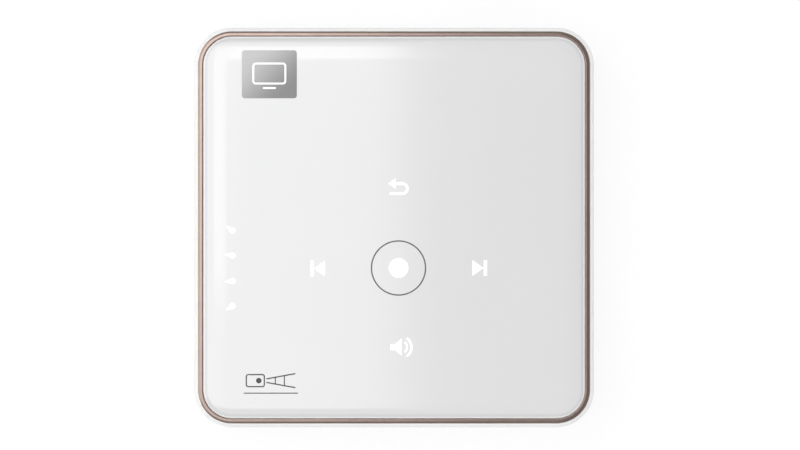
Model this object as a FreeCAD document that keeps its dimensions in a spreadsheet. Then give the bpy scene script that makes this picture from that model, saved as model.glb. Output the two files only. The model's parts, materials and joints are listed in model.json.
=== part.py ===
"""A pocket projector: a square white case with a touch panel on top, seen here as the parts on a bench.

The frame is in millimetres. Z is up, and the origin is the middle of the plane that the feet stand on.
+Y is the way the lens looks, so someone behind the projector at -Y reads its touch keys upright.
Every size is a named cell of the sheet, every place that follows from sizes is a named formula in PLACES,
and each sub-part is one object of the document, bound to those cells.
"""
import FreeCAD, Part
import math
import os
import re
import Sketcher
from fcgear import fcgear, involute

# Driving sizes in millimetres, or plain counts: cell alias, value, what it is.
SIZES = (
    # case
    ("case_width", 80.0, "case, side to side"),
    ("case_depth", 80.0, "case, back to front"),
    ("case_height", 22.0, "from the feet to the top of the panel"),
    ("case_corner", 7.6, "radius of the case's corners seen from above"),
    ("wall", 1.6, "moulded side wall"),
    ("fit_gap", 0.1, "gap round a piece that drops into a recess"),
    ("foot_proud", 0.8, "how far a foot stands below the case"),
    ("foot_sunk", 0.5, "how deep a foot sits in its recess"),
    ("foot_diameter", 8.0, "rubber foot"),
    ("foot_inset", 11.0, "from the case's side to the middle of a foot"),
    ("foot_round", 0.35, "rounding of a foot's lower rim"),
    ("base_floor", 1.6, "floor of the base cover"),
    ("base_height", 2.8, "base cover, from its underside to the seam"),
    ("base_round", 2.0, "rounding of the case's lower edge"),
    ("tongue_height", 1.2, "tongue of the base cover above the seam"),
    ("tongue_thickness", 0.8, "tongue of the base cover"),
    ("seam_chamfer", 0.15, "bevel on both sides of the seam"),
    # top of the case
    ("shoulder_drop", 0.85, "white shoulder below the top of the panel"),
    ("shoulder_width", 0.8, "white shoulder outside the trim ring"),
    ("shoulder_round", 1.3, "rounding of the shoulder"),
    ("ring_width", 0.95, "trim ring, seen from above"),
    ("ring_proud", 0.15, "crest of the trim ring above the shoulder"),
    ("ring_sunk", 0.5, "trim ring below the panel's ledge"),
    ("panel_thickness", 1.6, "touch panel"),
    ("panel_crown", 4.7, "width of the panel's curved border"),
    ("crown_radius", 12.0, "radius of the panel's curved border"),
    ("panel_edge_round", 0.25, "small rounding of the panel's rim"),
    ("ledge_width", 1.9, "ledge that carries the panel's border"),
    ("guide_thickness", 0.6, "light guide under the panel"),
    ("touch_board_thickness", 0.8, "touch board under the light guide"),
    ("deck_thickness", 1.2, "deck of the housing under the touch board"),
    # touch keys
    ("key_x", 1.0, "middle of the key cross, sideways"),
    ("key_y", -8.1, "middle of the key cross, front to back"),
    ("key_pitch", 16.1, "from the middle key to each outer key"),
    ("key_lamp", 1.6, "side of a key lamp"),
    ("lamp_height", 0.5, "height of a lamp"),
    ("gauge_x", -32.5, "column of charge lamps"),
    ("gauge_pitch", 5.0, "from one charge lamp to the next"),
    ("gauge_lamp", 1.0, "side of a charge lamp"),
    ("gauge_count", 4, "charge lamps"),
    ("lamp_window", 0.3, "gap between a lamp and its window in the guide"),
    # case screws
    ("screw_inset", 6.4, "from the case's side to a case screw"),
    ("boss_diameter", 5.0, "screw boss"),
    ("post_height", 1.8, "post of the base cover under a boss"),
    ("screw_head", 3.6, "head of a case screw"),
    ("screw_head_height", 1.0, "head of a case screw"),
    ("screw_recess", 1.3, "recess of a case screw's head"),
    ("screw_shank", 1.7, "shank of a case screw"),
    ("screw_length", 7.0, "case screw under its head"),
    ("screw_gap", 0.05, "gap round a screw's shank"),
    ("head_gap", 0.2, "gap round a screw's head"),
    ("end_gap", 0.4, "hole beyond the end of a screw"),
    ("cross_width", 0.55, "cross recess of a case screw"),
    ("cross_depth", 0.6, "cross recess of a case screw"),
    ("cross_length", 2.1, "cross recess of a case screw"),
    # tripod nut
    ("nut_diameter", 9.0, "tripod nut"),
    ("nut_length", 5.6, "tripod nut"),
    ("nut_bore", 5.1, "core of the 1/4 inch thread"),
    ("nut_mouth", 0.5, "countersink at the mouth of the nut"),
    ("nut_groove", 0.5, "depth of the nut's holding groove"),
    ("nut_wall", 1.5, "plastic round the tripod nut"),
    ("nut_cap", 1.0, "plastic above the tripod nut"),
    # battery and main board
    ("battery_length", 56.0, "battery, side to side"),
    ("battery_width", 30.0, "battery, back to front"),
    ("battery_thickness", 5.5, "battery"),
    ("battery_y", -21.0, "middle of the battery"),
    ("battery_round", 1.6, "rounded edges of the pouch"),
    ("pad_thickness", 0.4, "foam pad under the battery"),
    ("pad_margin", 3.0, "battery beyond its foam pad"),
    ("fence_gap", 0.5, "gap between the battery and its fence"),
    ("fence_thickness", 1.0, "fence round the battery"),
    ("fence_height", 2.5, "fence round the battery"),
    ("board_width", 60.0, "main board, side to side"),
    ("board_length", 33.0, "main board, back to front"),
    ("board_thickness", 1.2, "main board"),
    ("board_air", 1.3, "air between the battery and the main board"),
    ("board_edge_gap", 0.6, "gap between the main board and the back wall"),
    ("board_corner", 1.5, "corners of the main board"),
    ("hole_inset", 3.0, "from the main board's edge to a screw hole"),
    ("board_post", 4.4, "post that the main board is screwed to"),
    ("wing_width", 6.8, "wing of the main board that carries the switch"),
    ("wing_length", 14.0, "wing of the main board, back to front"),
    ("small_head", 2.8, "head of an inner screw"),
    ("small_head_height", 0.8, "head of an inner screw"),
    ("small_shank", 1.4, "shank of an inner screw"),
    ("small_length", 4.5, "inner screw under its head"),
    ("plug_x", 27.2, "plugs at the right edge of the main board"),
    ("plug_width", 4.0, "plug at the edge of the main board"),
    ("plug_height", 3.0, "plug at the edge of the main board"),
    ("battery_plug_y", -18.0, "plug of the battery"),
    ("speaker_plug_y", -25.5, "plug of the speaker"),
    ("ribbon_width", 6.0, "way for the touch board's ribbon through the deck"),
    ("ribbon_plug", 1.8, "height of the ribbon's plug"),
    ("ribbon_slot", 2.4, "slot in the deck for the ribbon"),
    # sockets in the back wall
    ("socket_recess", 0.6, "mouth of a socket behind the wall's outside"),
    ("port_gap", 0.25, "gap round a socket in its cut-out"),
    ("metal", 0.35, "sheet metal of a socket"),
    ("video_x", 3.0, "video socket"),
    ("video_width", 15.0, "video socket"),
    ("video_height", 5.6, "video socket"),
    ("video_depth", 11.5, "video socket"),
    ("video_bevel", 1.6, "bevelled lower corners of the video socket"),
    ("usb_x", 18.0, "flat socket for a memory stick"),
    ("usb_width", 13.2, "flat socket for a memory stick"),
    ("usb_height", 5.8, "flat socket for a memory stick"),
    ("usb_depth", 13.5, "flat socket for a memory stick"),
    ("charge_x", -10.5, "charging socket"),
    ("charge_width", 7.8, "charging socket"),
    ("charge_height", 3.2, "charging socket"),
    ("charge_depth", 5.6, "charging socket"),
    ("charge_bevel", 0.9, "bevelled lower corners of the charging socket"),
    ("audio_x", -20.0, "headphone socket"),
    ("audio_width", 6.4, "headphone socket"),
    ("audio_height", 5.2, "headphone socket"),
    ("audio_depth", 12.0, "body of the headphone socket"),
    ("audio_nose", 5.0, "round nose of the headphone socket"),
    ("audio_nose_length", 1.9, "round nose of the headphone socket"),
    ("audio_bore", 3.6, "bore for a 3.5 mm plug"),
    ("audio_bore_length", 13.0, "bore for a 3.5 mm plug"),
    ("video_tongue", 11.4, "width of the tongue in the video socket"),
    ("video_blade", 1.3, "thickness of that tongue"),
    ("usb_tongue", 11.0, "width of the tongue in the memory-stick socket"),
    ("usb_blade", 1.8, "thickness of that tongue"),
    ("charge_tongue", 4.0, "width of the tongue in the charging socket"),
    ("charge_blade", 0.6, "thickness of that tongue"),
    ("tongue_low", 0.3, "tongue above the middle of its socket"),
    ("tongue_sunk", 1.0, "tongue behind the socket's mouth"),
    # power switch
    ("switch_y", -19.0, "middle of the power switch"),
    ("switch_length", 8.6, "power switch, along the wall"),
    ("switch_width", 4.0, "power switch, into the case"),
    ("switch_height", 3.6, "power switch"),
    ("switch_gap", 1.8, "from the wall to the power switch"),
    ("switch_travel", 2.5, "travel of the knob"),
    ("knob_length", 3.6, "knob, along the wall"),
    ("knob_height", 2.4, "knob"),
    ("knob_sunk", 0.1, "knob behind the case's side"),
    ("knob_flange", 0.8, "thickness of the knob's flange"),
    ("knob_lip", 0.9, "flange beyond the slot at each end"),
    ("knob_play", 0.2, "gap round the knob in its slot"),
    ("stem_width", 1.4, "stem that the switch holds"),
    ("stem_reach", 0.9, "stem inside the switch"),
    ("dish_depth", 0.7, "dish round the knob"),
    ("dish_length", 10.4, "dish round the knob"),
    ("dish_height", 5.2, "dish round the knob"),
    ("rib_pitch", 0.9, "grip grooves of the knob"),
    ("rib_groove", 0.35, "grip grooves of the knob"),
    # speaker
    ("speaker_y", -19.0, "middle of the speaker"),
    ("speaker_z", 11.4, "middle of the speaker"),
    ("speaker_length", 22.0, "speaker, along the wall"),
    ("speaker_height", 11.0, "speaker"),
    ("speaker_depth", 4.2, "frame of the speaker"),
    ("speaker_rim", 1.0, "rim of the speaker's frame"),
    ("gasket_thickness", 0.8, "foam between the speaker and the wall"),
    ("magnet_diameter", 8.0, "magnet of the speaker"),
    ("magnet_depth", 1.6, "magnet behind the frame"),
    ("cone_sunk", 0.4, "flat of the cone behind the speaker's face"),
    ("cone_thickness", 0.8, "cone of the speaker"),
    ("grille_hole", 1.2, "hole of the speaker grille"),
    ("grille_pitch", 2.2, "from hole to hole"),
    ("grille_columns", 9, "holes along the wall"),
    ("grille_rows", 3, "rows of holes"),
    ("cheek_thickness", 1.0, "cheek that holds the speaker"),
    # vents
    ("vent_width", 1.2, "vent slot"),
    ("vent_height", 9.0, "vent slot"),
    ("vent_pitch", 2.4, "from slot to slot"),
    ("vent_z", 11.4, "middle of the vent slots"),
    ("front_vents", 12, "slots in the front wall"),
    ("front_vent_x", -31.0, "first slot of the front wall"),
    ("side_vents", 9, "slots in the left wall"),
    ("side_vent_y", 6.8, "first slot of the left wall"),
    ("floor_vents", 6, "slots in the base cover"),
    ("floor_vent_length", 12.0, "slot in the base cover"),
    # optical engine
    ("lens_x", 20.3, "optical axis, sideways"),
    ("lens_z", 10.2, "height of the optical axis"),
    ("engine_y", 13.0, "illumination axis, front to back"),
    ("prism_size", 9.0, "side of the prism pair"),
    ("prism_gap", 0.1, "air gap between the two prisms"),
    ("channel_gap", 0.1, "gap round the optics in the channel"),
    ("engine_wall", 1.2, "wall of the engine housing"),
    ("engine_lid_thickness", 1.0, "lid of the engine"),
    ("mirror_x", -1.0, "middle of the colour-splitting mirror"),
    ("mirror_length", 9.6, "colour-splitting mirror"),
    ("mirror_thickness", 0.8, "colour-splitting mirror"),
    ("lamp_reach", 10.0, "from the mirror to a lamp board"),
    ("lamp_board", 12.0, "side of a lamp board"),
    ("lamp_board_thickness", 1.0, "lamp board"),
    ("die_side", 4.0, "light source on a lamp board"),
    ("die_height", 0.6, "light source on a lamp board"),
    ("dome_height", 0.4, "dome over the light source"),
    ("dome_radius", 1.4, "dome over the light source"),
    ("collimator_gap", 0.3, "gap between the optics of the engine"),
    ("collimator_thickness", 2.2, "collimator lens"),
    ("collimator_radius", 7.0, "curved face of a collimator lens"),
    ("fly_eye_x", 5.6, "back face of the fly's-eye lens"),
    ("fly_eye_thickness", 1.8, "fly's-eye lens"),
    ("fly_eye_pitch", 1.5, "from furrow to furrow of the fly's-eye lens"),
    ("fly_eye_furrow", 0.3, "furrow of the fly's-eye lens"),
    ("fly_eye_furrows", 5, "furrows of the fly's-eye lens"),
    ("relay_thickness", 3.0, "relay lens"),
    ("relay_radius", 9.0, "curved face of the relay lens"),
    ("chip_width", 16.0, "mirror chip"),
    ("chip_height", 7.0, "mirror chip"),
    ("chip_depth", 1.8, "mirror chip"),
    ("window_width", 8.0, "glass window of the mirror chip"),
    ("window_height", 5.0, "glass window of the mirror chip"),
    ("window_depth", 0.7, "glass window of the mirror chip"),
    ("window_gap", 0.3, "gap round that window in the engine housing"),
    ("chip_board_width", 23.0, "board of the mirror chip"),
    ("chip_board_height", 11.0, "board of the mirror chip"),
    ("chip_board_thickness", 1.0, "board of the mirror chip"),
    ("sink_depth", 3.0, "heat sink behind the mirror chip"),
    ("sink_plate", 1.0, "plate of that heat sink"),
    ("sink_fin", 0.6, "fin of that heat sink"),
    ("sink_fins", 8, "fins of that heat sink"),
    ("sink_width", 16.4, "heat sink behind the mirror chip"),
    ("lug_radius", 2.4, "screw lug of the engine"),
    ("lug_height", 2.0, "screw lug of the engine"),
    ("lug_step", 0.2, "post of the base cover inside its lug's rim"),
    ("lug_a_x", -8.6, "back left lug"),
    ("lug_a_y", 4.7, "back left lug"),
    ("lug_b_x", 28.7, "right lug"),
    ("lug_b_y", 13.0, "right lug"),
    ("lug_c_x", 9.0, "front lug"),
    ("lug_c_y", 21.6, "front lug"),
    # projection lens and its focus drive
    ("flange_thickness", 1.5, "flange of the lens barrel"),
    ("flange_width", 15.0, "flange of the lens barrel"),
    ("flange_height", 11.6, "flange of the lens barrel"),
    ("barrel_outer", 9.8, "lens barrel"),
    ("barrel_bore", 8.4, "lens barrel"),
    ("barrel_front", 2.2, "front of the barrel behind the case's front"),
    ("shoulder_radius", 6.2, "shoulder of the barrel behind the focus ring"),
    ("shoulder_length", 0.4, "shoulder of the barrel behind the focus ring"),
    ("run_gap", 0.1, "running gap of the focus drive"),
    ("ring_outer", 12.2, "sleeve of the focus ring"),
    ("ring_length", 4.7, "focus ring"),
    ("gear_module", 0.5, "module of the focus gears"),
    ("gear_angle", 20.0, "pressure angle of the focus gears"),
    ("gear_width", 2.5, "face width of the focus gears"),
    ("gear_play", 0.1, "added to the centre distance of the gears"),
    ("ring_teeth", 27, "teeth of the focus ring"),
    ("wheel_teeth", 22, "teeth of the focus wheel"),
    ("cam_pitch", 3.6, "advance of the cam groove in one turn"),
    ("cam_depth", 0.6, "cam groove"),
    ("cam_width", 1.2, "cam groove, along the axis"),
    ("cam_angle", 210.0, "how far the cam groove goes round"),
    ("pin_diameter", 1.0, "pin that rides in the cam groove"),
    ("focus_travel", 0.9, "travel of the lens cell each way"),
    ("cell_gap", 0.08, "gap between the lens cell and the barrel"),
    ("cell_wall", 0.6, "wall of the lens cell"),
    ("cell_lip", 0.5, "lip in front of the front lens"),
    ("clip_thickness", 0.5, "clip in front of the focus ring"),
    ("clip_groove", 0.3, "depth of the clip's groove"),
    ("clip_reach", 1.0, "clip outside the barrel"),
    ("wheel_sunk", 0.1, "rim of the focus wheel behind the case's side"),
    ("wheel_width", 4.0, "rim of the focus wheel"),
    ("wheel_ribs", 40, "grip ribs of the focus wheel"),
    ("wheel_rib_depth", 0.35, "grip ribs of the focus wheel"),
    ("wheel_hub", 3.0, "radius of the focus wheel's hub"),
    ("axle_diameter", 2.0, "axle of the focus wheel"),
    ("axle_gap", 0.04, "running gap on the axle"),
    ("axle_socket", 2.3, "radius of the plastic round the axle's end"),
    ("axle_grip", 1.6, "how deep the axle sits in the housing"),
    ("wheel_window_gap", 0.3, "gap round the wheel in the wall"),
    ("gear_pocket", 0.5, "pocket in the wall beside the wheel's gear"),
    ("scoop_radius", 18.0, "finger scoop round the wheel"),
    ("scoop_depth", 1.0, "finger scoop round the wheel"),
    ("scoop_height", 11.6, "finger scoop round the wheel"),
    ("front_lens", 3.2, "thickness of the front lens"),
    ("front_lens_radius", 8.0, "curved faces of the front lens"),
    ("inner_lens", 2.4, "thickness of the inner lens"),
    ("inner_lens_radius", 10.0, "curved faces of the inner lens"),
    ("inner_lens_gap", 1.5, "from the cam pin to the inner lens"),
    ("rear_lens", 1.8, "thickness of the rear lens"),
    ("rear_lens_radius", 9.0, "curved faces of the rear lens"),
    ("rear_lens_proud", 0.2, "rear lens in front of the flange"),
    ("rear_bore", 7.2, "seat of the rear lens"),
    # lens bezel
    ("bezel_width", 19.0, "black bezel round the lens"),
    ("bezel_height", 11.8, "black bezel round the lens"),
    ("bezel_corner", 3.2, "corners of the bezel"),
    ("bezel_depth", 1.2, "thickness of the bezel"),
    ("bezel_mouth", 11.0, "outer rim of the bezel's cone"),
    ("bezel_throat", 9.2, "inner rim of the bezel's cone"),
    ("front_extra", 0.8, "front wall, thicker than the other walls behind the bezel and the inlets"),
    ("collar_outer", 12.2, "collar inside the front wall, round the barrel's tip"),
    ("collar_length", 2.2, "that collar, behind the wall"),
    # cooling
    ("fan_x", -24.0, "axis of the fan"),
    ("fan_y", 17.0, "axis of the fan"),
    ("fan_size", 19.6, "side of the fan case"),
    ("fan_height", 6.5, "fan case with its cover"),
    ("fan_wall", 0.8, "walls of the fan case"),
    ("fan_corner", 2.0, "corners of the fan case"),
    ("fan_bottom", 4.9, "underside of the fan and of the fin stack"),
    ("rotor_diameter", 15.4, "fan rotor"),
    ("rotor_gap", 0.8, "gap between the rotor and the fan case"),
    ("rotor_air", 0.5, "gap above and below the rotor"),
    ("hub_diameter", 7.4, "hub of the rotor"),
    ("hub_wall", 0.7, "wall of the rotor's hub"),
    ("blade_count", 15, "blades of the rotor"),
    ("blade_thickness", 0.5, "blade"),
    ("blade_radius", 4.6, "curve of a blade"),
    ("shaft_diameter", 1.2, "shaft of the rotor"),
    ("bearing_diameter", 3.0, "bearing of the fan case"),
    ("bearing_height", 1.8, "bearing of the fan case"),
    ("inlet_diameter", 11.0, "inlet in the fan cover"),
    ("fin_x", -36.0, "middle of the fin stack"),
    ("fin_depth", 4.0, "fin, along the air"),
    ("fin_thickness", 0.4, "fin"),
    ("fin_pitch", 1.8, "from fin to fin"),
    ("fin_count", 11, "fins"),
    ("fin_first_y", 7.0, "first fin"),
    ("fin_top", 15.6, "top of the fin stack"),
    ("fin_plate", 0.6, "plates that join the fins"),
    ("pipe_diameter", 3.0, "heat pipe"),
    ("pipe_z", 13.0, "height of the heat pipe"),
    ("pipe_bend", 3.6, "bend of the heat pipe"),
    ("pipe_back_y", 11.0, "end of the heat pipe on the spreader"),
    ("pipe_front_y", 29.2, "stretch of the heat pipe round the fan"),
    ("spreader_thickness", 1.5, "copper spreader behind the lamps"),
    ("spreader_height", 11.5, "copper spreader behind the lamps"),
    ("rail_width", 1.2, "rails under the fan and the fin stack"),
)

NAMES = {row[0] for row in SIZES}

# Places that follow from the sizes, each written once.
PLACES = {
    "floor_top": "foot_proud + base_floor",
    "seam": "foot_proud + base_height",
    "shoulder_top": "case_height - shoulder_drop",
    "ledge": "case_height - panel_thickness",
    "guide_bottom": "ledge - guide_thickness",
    "deck_top": "guide_bottom - touch_board_thickness",
    "deck_bottom": "deck_top - deck_thickness",
    "panel_inset": "shoulder_width + ring_width + fit_gap",
    "pocket_inset": "panel_inset + ledge_width",
    "tray_inset": "wall + fit_gap + tongue_thickness",
    "inside_x": "case_width / 2 - wall",
    "inside_y": "case_depth / 2 - wall",
    "boss_bottom": "floor_top + post_height",
    "screw_seat": "foot_proud + screw_recess",
    "nut_top": "foot_proud + nut_length",
    "battery_bottom": "floor_top + pad_thickness",
    "board_bottom": "battery_bottom + battery_thickness + board_air",
    "board_top": "board_bottom + board_thickness",
    "board_back": "board_edge_gap - inside_y",
    "board_front": "board_back + board_length",
    "socket_mouth": "socket_recess - case_depth / 2",
    "switch_face": "switch_gap - inside_x",
    "switch_z": "board_top + switch_height / 2",
    "knob_rest": "switch_y - switch_travel / 2",
    "knob_slot": "knob_length + switch_travel + 2 * knob_play",
    "flange_length": "knob_slot + switch_travel + 2 * knob_lip",
    "speaker_face": "inside_x - gasket_thickness",
    "channel": "prism_size + 2 * channel_gap",
    "engine_bottom": "lens_z - prism_size / 2 - engine_wall",
    "engine_top": "lens_z + prism_size / 2 + channel_gap",
    "engine_right": "lens_x + channel / 2 + engine_wall",
    "engine_left": "mirror_x - lamp_reach",
    "engine_back": "engine_y - channel / 2 - engine_wall",
    "engine_front": "engine_y + channel / 2 + engine_wall",
    "branch_end": "engine_y + lamp_reach",
    "flange_front": "engine_front + flange_thickness",
    "shoulder_front": "flange_front + shoulder_length",
    "barrel_tip": "case_depth / 2 - barrel_front",
    "drive_back": "shoulder_front + run_gap",
    "drive_front": "drive_back + ring_length",
    "pin_y": "drive_back + ring_length / 2",
    "centre_distance": "(ring_teeth + wheel_teeth) * gear_module / 2 + gear_play",
    "wheel_x": "lens_x + centre_distance",
    "wheel_radius": "case_width / 2 - wheel_sunk - wheel_x",
    "rim_back": "drive_front + clip_thickness + 2 * run_gap",
    "rim_front": "rim_back + wheel_width",
    "cell_radius": "barrel_bore / 2 - cell_gap",
    "cell_back": "flange_front + run_gap + focus_travel",
    "cell_front": "barrel_tip - run_gap - focus_travel",
    "bezel_back": "case_depth / 2 - bezel_depth",
    "fan_top": "fan_bottom + fan_height",
    "pipe_x": "engine_left - lamp_board_thickness - spreader_thickness - pipe_diameter / 2",
}

AXES = {"z": ("XY_Plane", 1), "y": ("XZ_Plane", -1), "x": ("YZ_Plane", 1)}
BEYOND = 1.0  # how far a cutting tool runs past the solid it opens

doc = FreeCAD.newDocument("PocketProjector")
PARTS = []


def make_sheet():
    """The spreadsheet of driving sizes."""
    sheet = doc.addObject("Spreadsheet::Sheet", "Sizes")
    for row, (alias, value, meaning) in enumerate(SIZES, 1):
        sheet.set(f"A{row}", meaning)
        sheet.set(f"B{row}", str(value))
        sheet.setAlias(f"B{row}", alias)
    doc.recompute()
    return sheet


def formula(text):
    """The text with each place written out and each size as its cell in the sheet."""
    def written_out(match):
        name = match.group(0)
        if name in PLACES:
            return f"({formula(PLACES[name])})"
        return f"Sizes.{name}" if name in NAMES else name

    return re.sub(r"[a-z][a-z_0-9]*", written_out, str(text))


def number(text):
    """The value of a formula."""
    value = sheet.evalExpression(formula(text))
    return float(getattr(value, "Value", value))


def bind(thing, **formulas):
    """Binds properties to formulas; a double underscore in a name stands for a dot."""
    for name, text in formulas.items():
        thing.setExpression(name.replace("__", "."), formula(text))
    return thing


def new_body(label):
    """A body that becomes one sub-part."""
    body = doc.addObject("PartDesign::Body", label)
    body.Label = label
    body.AllowCompound = True
    PARTS.append(body)
    return body


def origin_feature(body, role):
    """One of the body's own origin planes or axes."""
    return next(f for f in body.Origin.OriginFeatures if f.Role == role)


def place_on(thing, body, axis, at, level):
    """Puts a sketch or profile across the axis, at that level along it and at a point of the plane."""
    role, sign = AXES[axis]
    thing.AttachmentSupport = [(origin_feature(body, role), "")]
    thing.MapMode = "FlatFace"
    bind(thing, AttachmentOffset__Base__x=at[0], AttachmentOffset__Base__y=at[1])
    bind(thing, AttachmentOffset__Base__z=level if sign > 0 else f"-({level})")
    return thing


def new_sketch(body, name, axis, at, level):
    """An empty sketch of the body."""
    return place_on(body.newObject("Sketcher::SketchObject", name), body, axis, at, level)


def constrain(sketch, text, *arguments):
    """A dimension of the sketch, bound to a formula."""
    index = sketch.addConstraint(Sketcher.Constraint(*arguments, number(text)))
    sketch.setExpression(f"Constraints[{index}]", formula(text))


def relate(sketch, *relations):
    """Geometric constraints of the sketch."""
    for relation in relations:
        sketch.addConstraint(Sketcher.Constraint(*relation))


def point(x, y):
    """A point of a sketch."""
    return FreeCAD.Vector(x, y, 0)


def circle(diameter):
    """Draws a circle about the sketch's origin."""
    def draw(sketch):
        radius = number(diameter) / 2
        index = sketch.addGeometry(Part.Circle(point(0, 0), FreeCAD.Vector(0, 0, 1), radius))
        relate(sketch, ("Coincident", index, 3, -1, 1))
        constrain(sketch, diameter, "Diameter", index)

    return draw


def rectangle(width, height):
    """Draws a rectangle about the sketch's origin."""
    def draw(sketch):
        x, y = number(width) / 2, number(height) / 2
        corners = [point(-x, -y), point(x, -y), point(x, y), point(-x, y)]
        first = sketch.GeometryCount
        for i in range(4):
            sketch.addGeometry(Part.LineSegment(corners[i], corners[(i + 1) % 4]))
        for i in range(4):
            relate(sketch, ("Coincident", first + i, 2, first + (i + 1) % 4, 1))
            relate(sketch, ("Vertical" if i % 2 else "Horizontal", first + i))
        relate(sketch, ("Symmetric", first, 1, first + 2, 1, -1, 1))
        constrain(sketch, width, "DistanceX", first, 1, first, 2)
        constrain(sketch, height, "DistanceY", first + 1, 1, first + 1, 2)

    return draw


def rounded(width, height, corner):
    """Draws a rectangle with round corners about the sketch's origin."""
    def draw(sketch):
        x, y, r = number(width) / 2, number(height) / 2, number(corner)
        ends = [(r - x, -y), (x - r, -y), (x, r - y), (x, y - r), (x - r, y), (r - x, y), (-x, y - r), (-x, r - y)]
        centres = [(x - r, r - y), (x - r, y - r), (r - x, y - r), (r - x, r - y)]
        first = sketch.GeometryCount
        for i in range(4):
            sketch.addGeometry(Part.LineSegment(point(*ends[2 * i]), point(*ends[2 * i + 1])))
        for i in range(4):
            turn = math.radians(90 * i - 90)
            round_corner = Part.Circle(point(*centres[i]), FreeCAD.Vector(0, 0, 1), r)
            sketch.addGeometry(Part.ArcOfCircle(round_corner, turn, turn + math.pi / 2))
        arc = first + 4
        for i in range(4):
            relate(sketch, ("Tangent", first + i, 2, arc + i, 1), ("Tangent", arc + i, 2, first + (i + 1) % 4, 1))
            relate(sketch, ("Vertical" if i % 2 else "Horizontal", first + i))
        relate(sketch, *(("Equal", arc, arc + i) for i in (1, 2, 3)))
        relate(sketch, ("Symmetric", arc, 3, arc + 2, 3, -1, 1))
        constrain(sketch, width, "DistanceX", first + 3, 1, first + 1, 1)
        constrain(sketch, height, "DistanceY", first, 1, first + 2, 1)
        constrain(sketch, corner, "Radius", arc)

    return draw


def slot(length, width, upright=False):
    """Draws a slot with round ends about the sketch's origin."""
    def draw(sketch):
        r = number(width) / 2
        reach = number(length) / 2 - r
        turn = math.pi / 2 if upright else 0.0

        def spun(x, y):
            return point(x * math.cos(turn) - y * math.sin(turn), x * math.sin(turn) + y * math.cos(turn))

        first = sketch.GeometryCount
        sketch.addGeometry(Part.LineSegment(spun(-reach, -r), spun(reach, -r)))
        far = Part.Circle(spun(reach, 0), FreeCAD.Vector(0, 0, 1), r)
        sketch.addGeometry(Part.ArcOfCircle(far, turn - math.pi / 2, turn + math.pi / 2))
        sketch.addGeometry(Part.LineSegment(spun(reach, r), spun(-reach, r)))
        near = Part.Circle(spun(-reach, 0), FreeCAD.Vector(0, 0, 1), r)
        sketch.addGeometry(Part.ArcOfCircle(near, turn + math.pi / 2, turn + 3 * math.pi / 2))
        for i in range(4):
            relate(sketch, ("Tangent", first + i, 2, first + (i + 1) % 4, 1))
        relate(sketch, ("Vertical" if upright else "Horizontal", first))
        relate(sketch, ("Symmetric", first + 1, 3, first + 3, 3, -1, 1))
        constrain(sketch, f"({width}) / 2", "Radius", first + 1)
        constrain(sketch, f"({length}) - ({width})", "Distance", first)

    return draw


def polygon(*corners):
    """Draws straight lines from corner to corner, each corner two formulas."""
    def draw(sketch):
        spots = [(number(x), number(y)) for x, y in corners]
        first, count = sketch.GeometryCount, len(spots)
        for i in range(count):
            sketch.addGeometry(Part.LineSegment(point(*spots[i]), point(*spots[(i + 1) % count])))
        for i, (x, y) in enumerate(corners):
            relate(sketch, ("Coincident", first + i, 2, first + (i + 1) % count, 1))
            constrain(sketch, x, "DistanceX", -1, 1, first + i, 1)
            constrain(sketch, y, "DistanceY", -1, 1, first + i, 1)

    return draw


def outline(inset="0"):
    """Draws the case's outline seen from above, moved in all round."""
    inset = f"({inset})"
    return rounded(f"case_width - 2 * {inset}", f"case_depth - 2 * {inset}", f"case_corner - {inset}")


def both(*drawings):
    """Draws one outline inside another, which leaves the ring between them."""
    def draw(sketch):
        for drawing in drawings:
            drawing(sketch)

    return draw


def extrude(kind, body, name, axis, drawing, low, high, at=("0", "0")):
    """A pad or pocket across the axis, from one level to the other along it."""
    sketch = new_sketch(body, f"{name}_sketch", axis, at, low)
    drawing(sketch)
    feature = body.newObject(kind, name)
    feature.Profile = sketch
    sketch.Visibility = False
    along_normal = AXES[axis][1] > 0
    feature.Reversed = along_normal == (kind == "PartDesign::Pocket")
    bind(feature, Length=f"({high}) - ({low})")
    return feature


def add(*arguments, **named):
    """Adds material, as extrude says."""
    return extrude("PartDesign::Pad", *arguments, **named)


def cut(*arguments, **named):
    """Takes material away, as extrude says."""
    return extrude("PartDesign::Pocket", *arguments, **named)


def turned(body, name, profile, at, level, kind="PartDesign::Revolution"):
    """A profile of (radius, y) corners turned about an axis along Y through the point at, on that level."""
    sketch = new_sketch(body, f"{name}_sketch", "z", (at, "0"), level)
    polygon(*profile)(sketch)
    feature = body.newObject(kind, name)
    feature.Profile = sketch
    feature.ReferenceAxis = (sketch, ["V_Axis"])
    feature.Angle = 360
    return feature


def turned_upright(body, name, profile, at, kind="PartDesign::Revolution"):
    """A profile of (radius, z) corners turned about an upright axis through the point at."""
    sketch = new_sketch(body, f"{name}_sketch", "y", (at[0], "0"), at[1])
    polygon(*profile)(sketch)
    feature = body.newObject(kind, name)
    feature.Profile = sketch
    feature.ReferenceAxis = (sketch, ["V_Axis"])
    feature.Angle = 360
    return feature


def row_of(body, name, features, axis, pitch, count):
    """Repeats features in a row along one of the body's origin axes."""
    pattern = body.newObject("PartDesign::LinearPattern", name)
    pattern.Originals = features
    pattern.Direction = (origin_feature(body, f"{axis.upper()}_Axis"), [""])
    pattern.Mode = "Spacing"
    bind(pattern, Offset=pitch, Occurrences=count)
    body.Tip = pattern
    return pattern


def grid_of(body, name, features, *rows):
    """Repeats features in rows of rows, each row an axis, a pitch and a count."""
    pattern = body.newObject("PartDesign::MultiTransform", name)
    steps = [row_of(body, f"{name}_{row[0]}", [], *row) for row in rows]
    pattern.Originals = features
    pattern.Transformations = steps
    body.Tip = pattern
    return pattern


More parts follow.
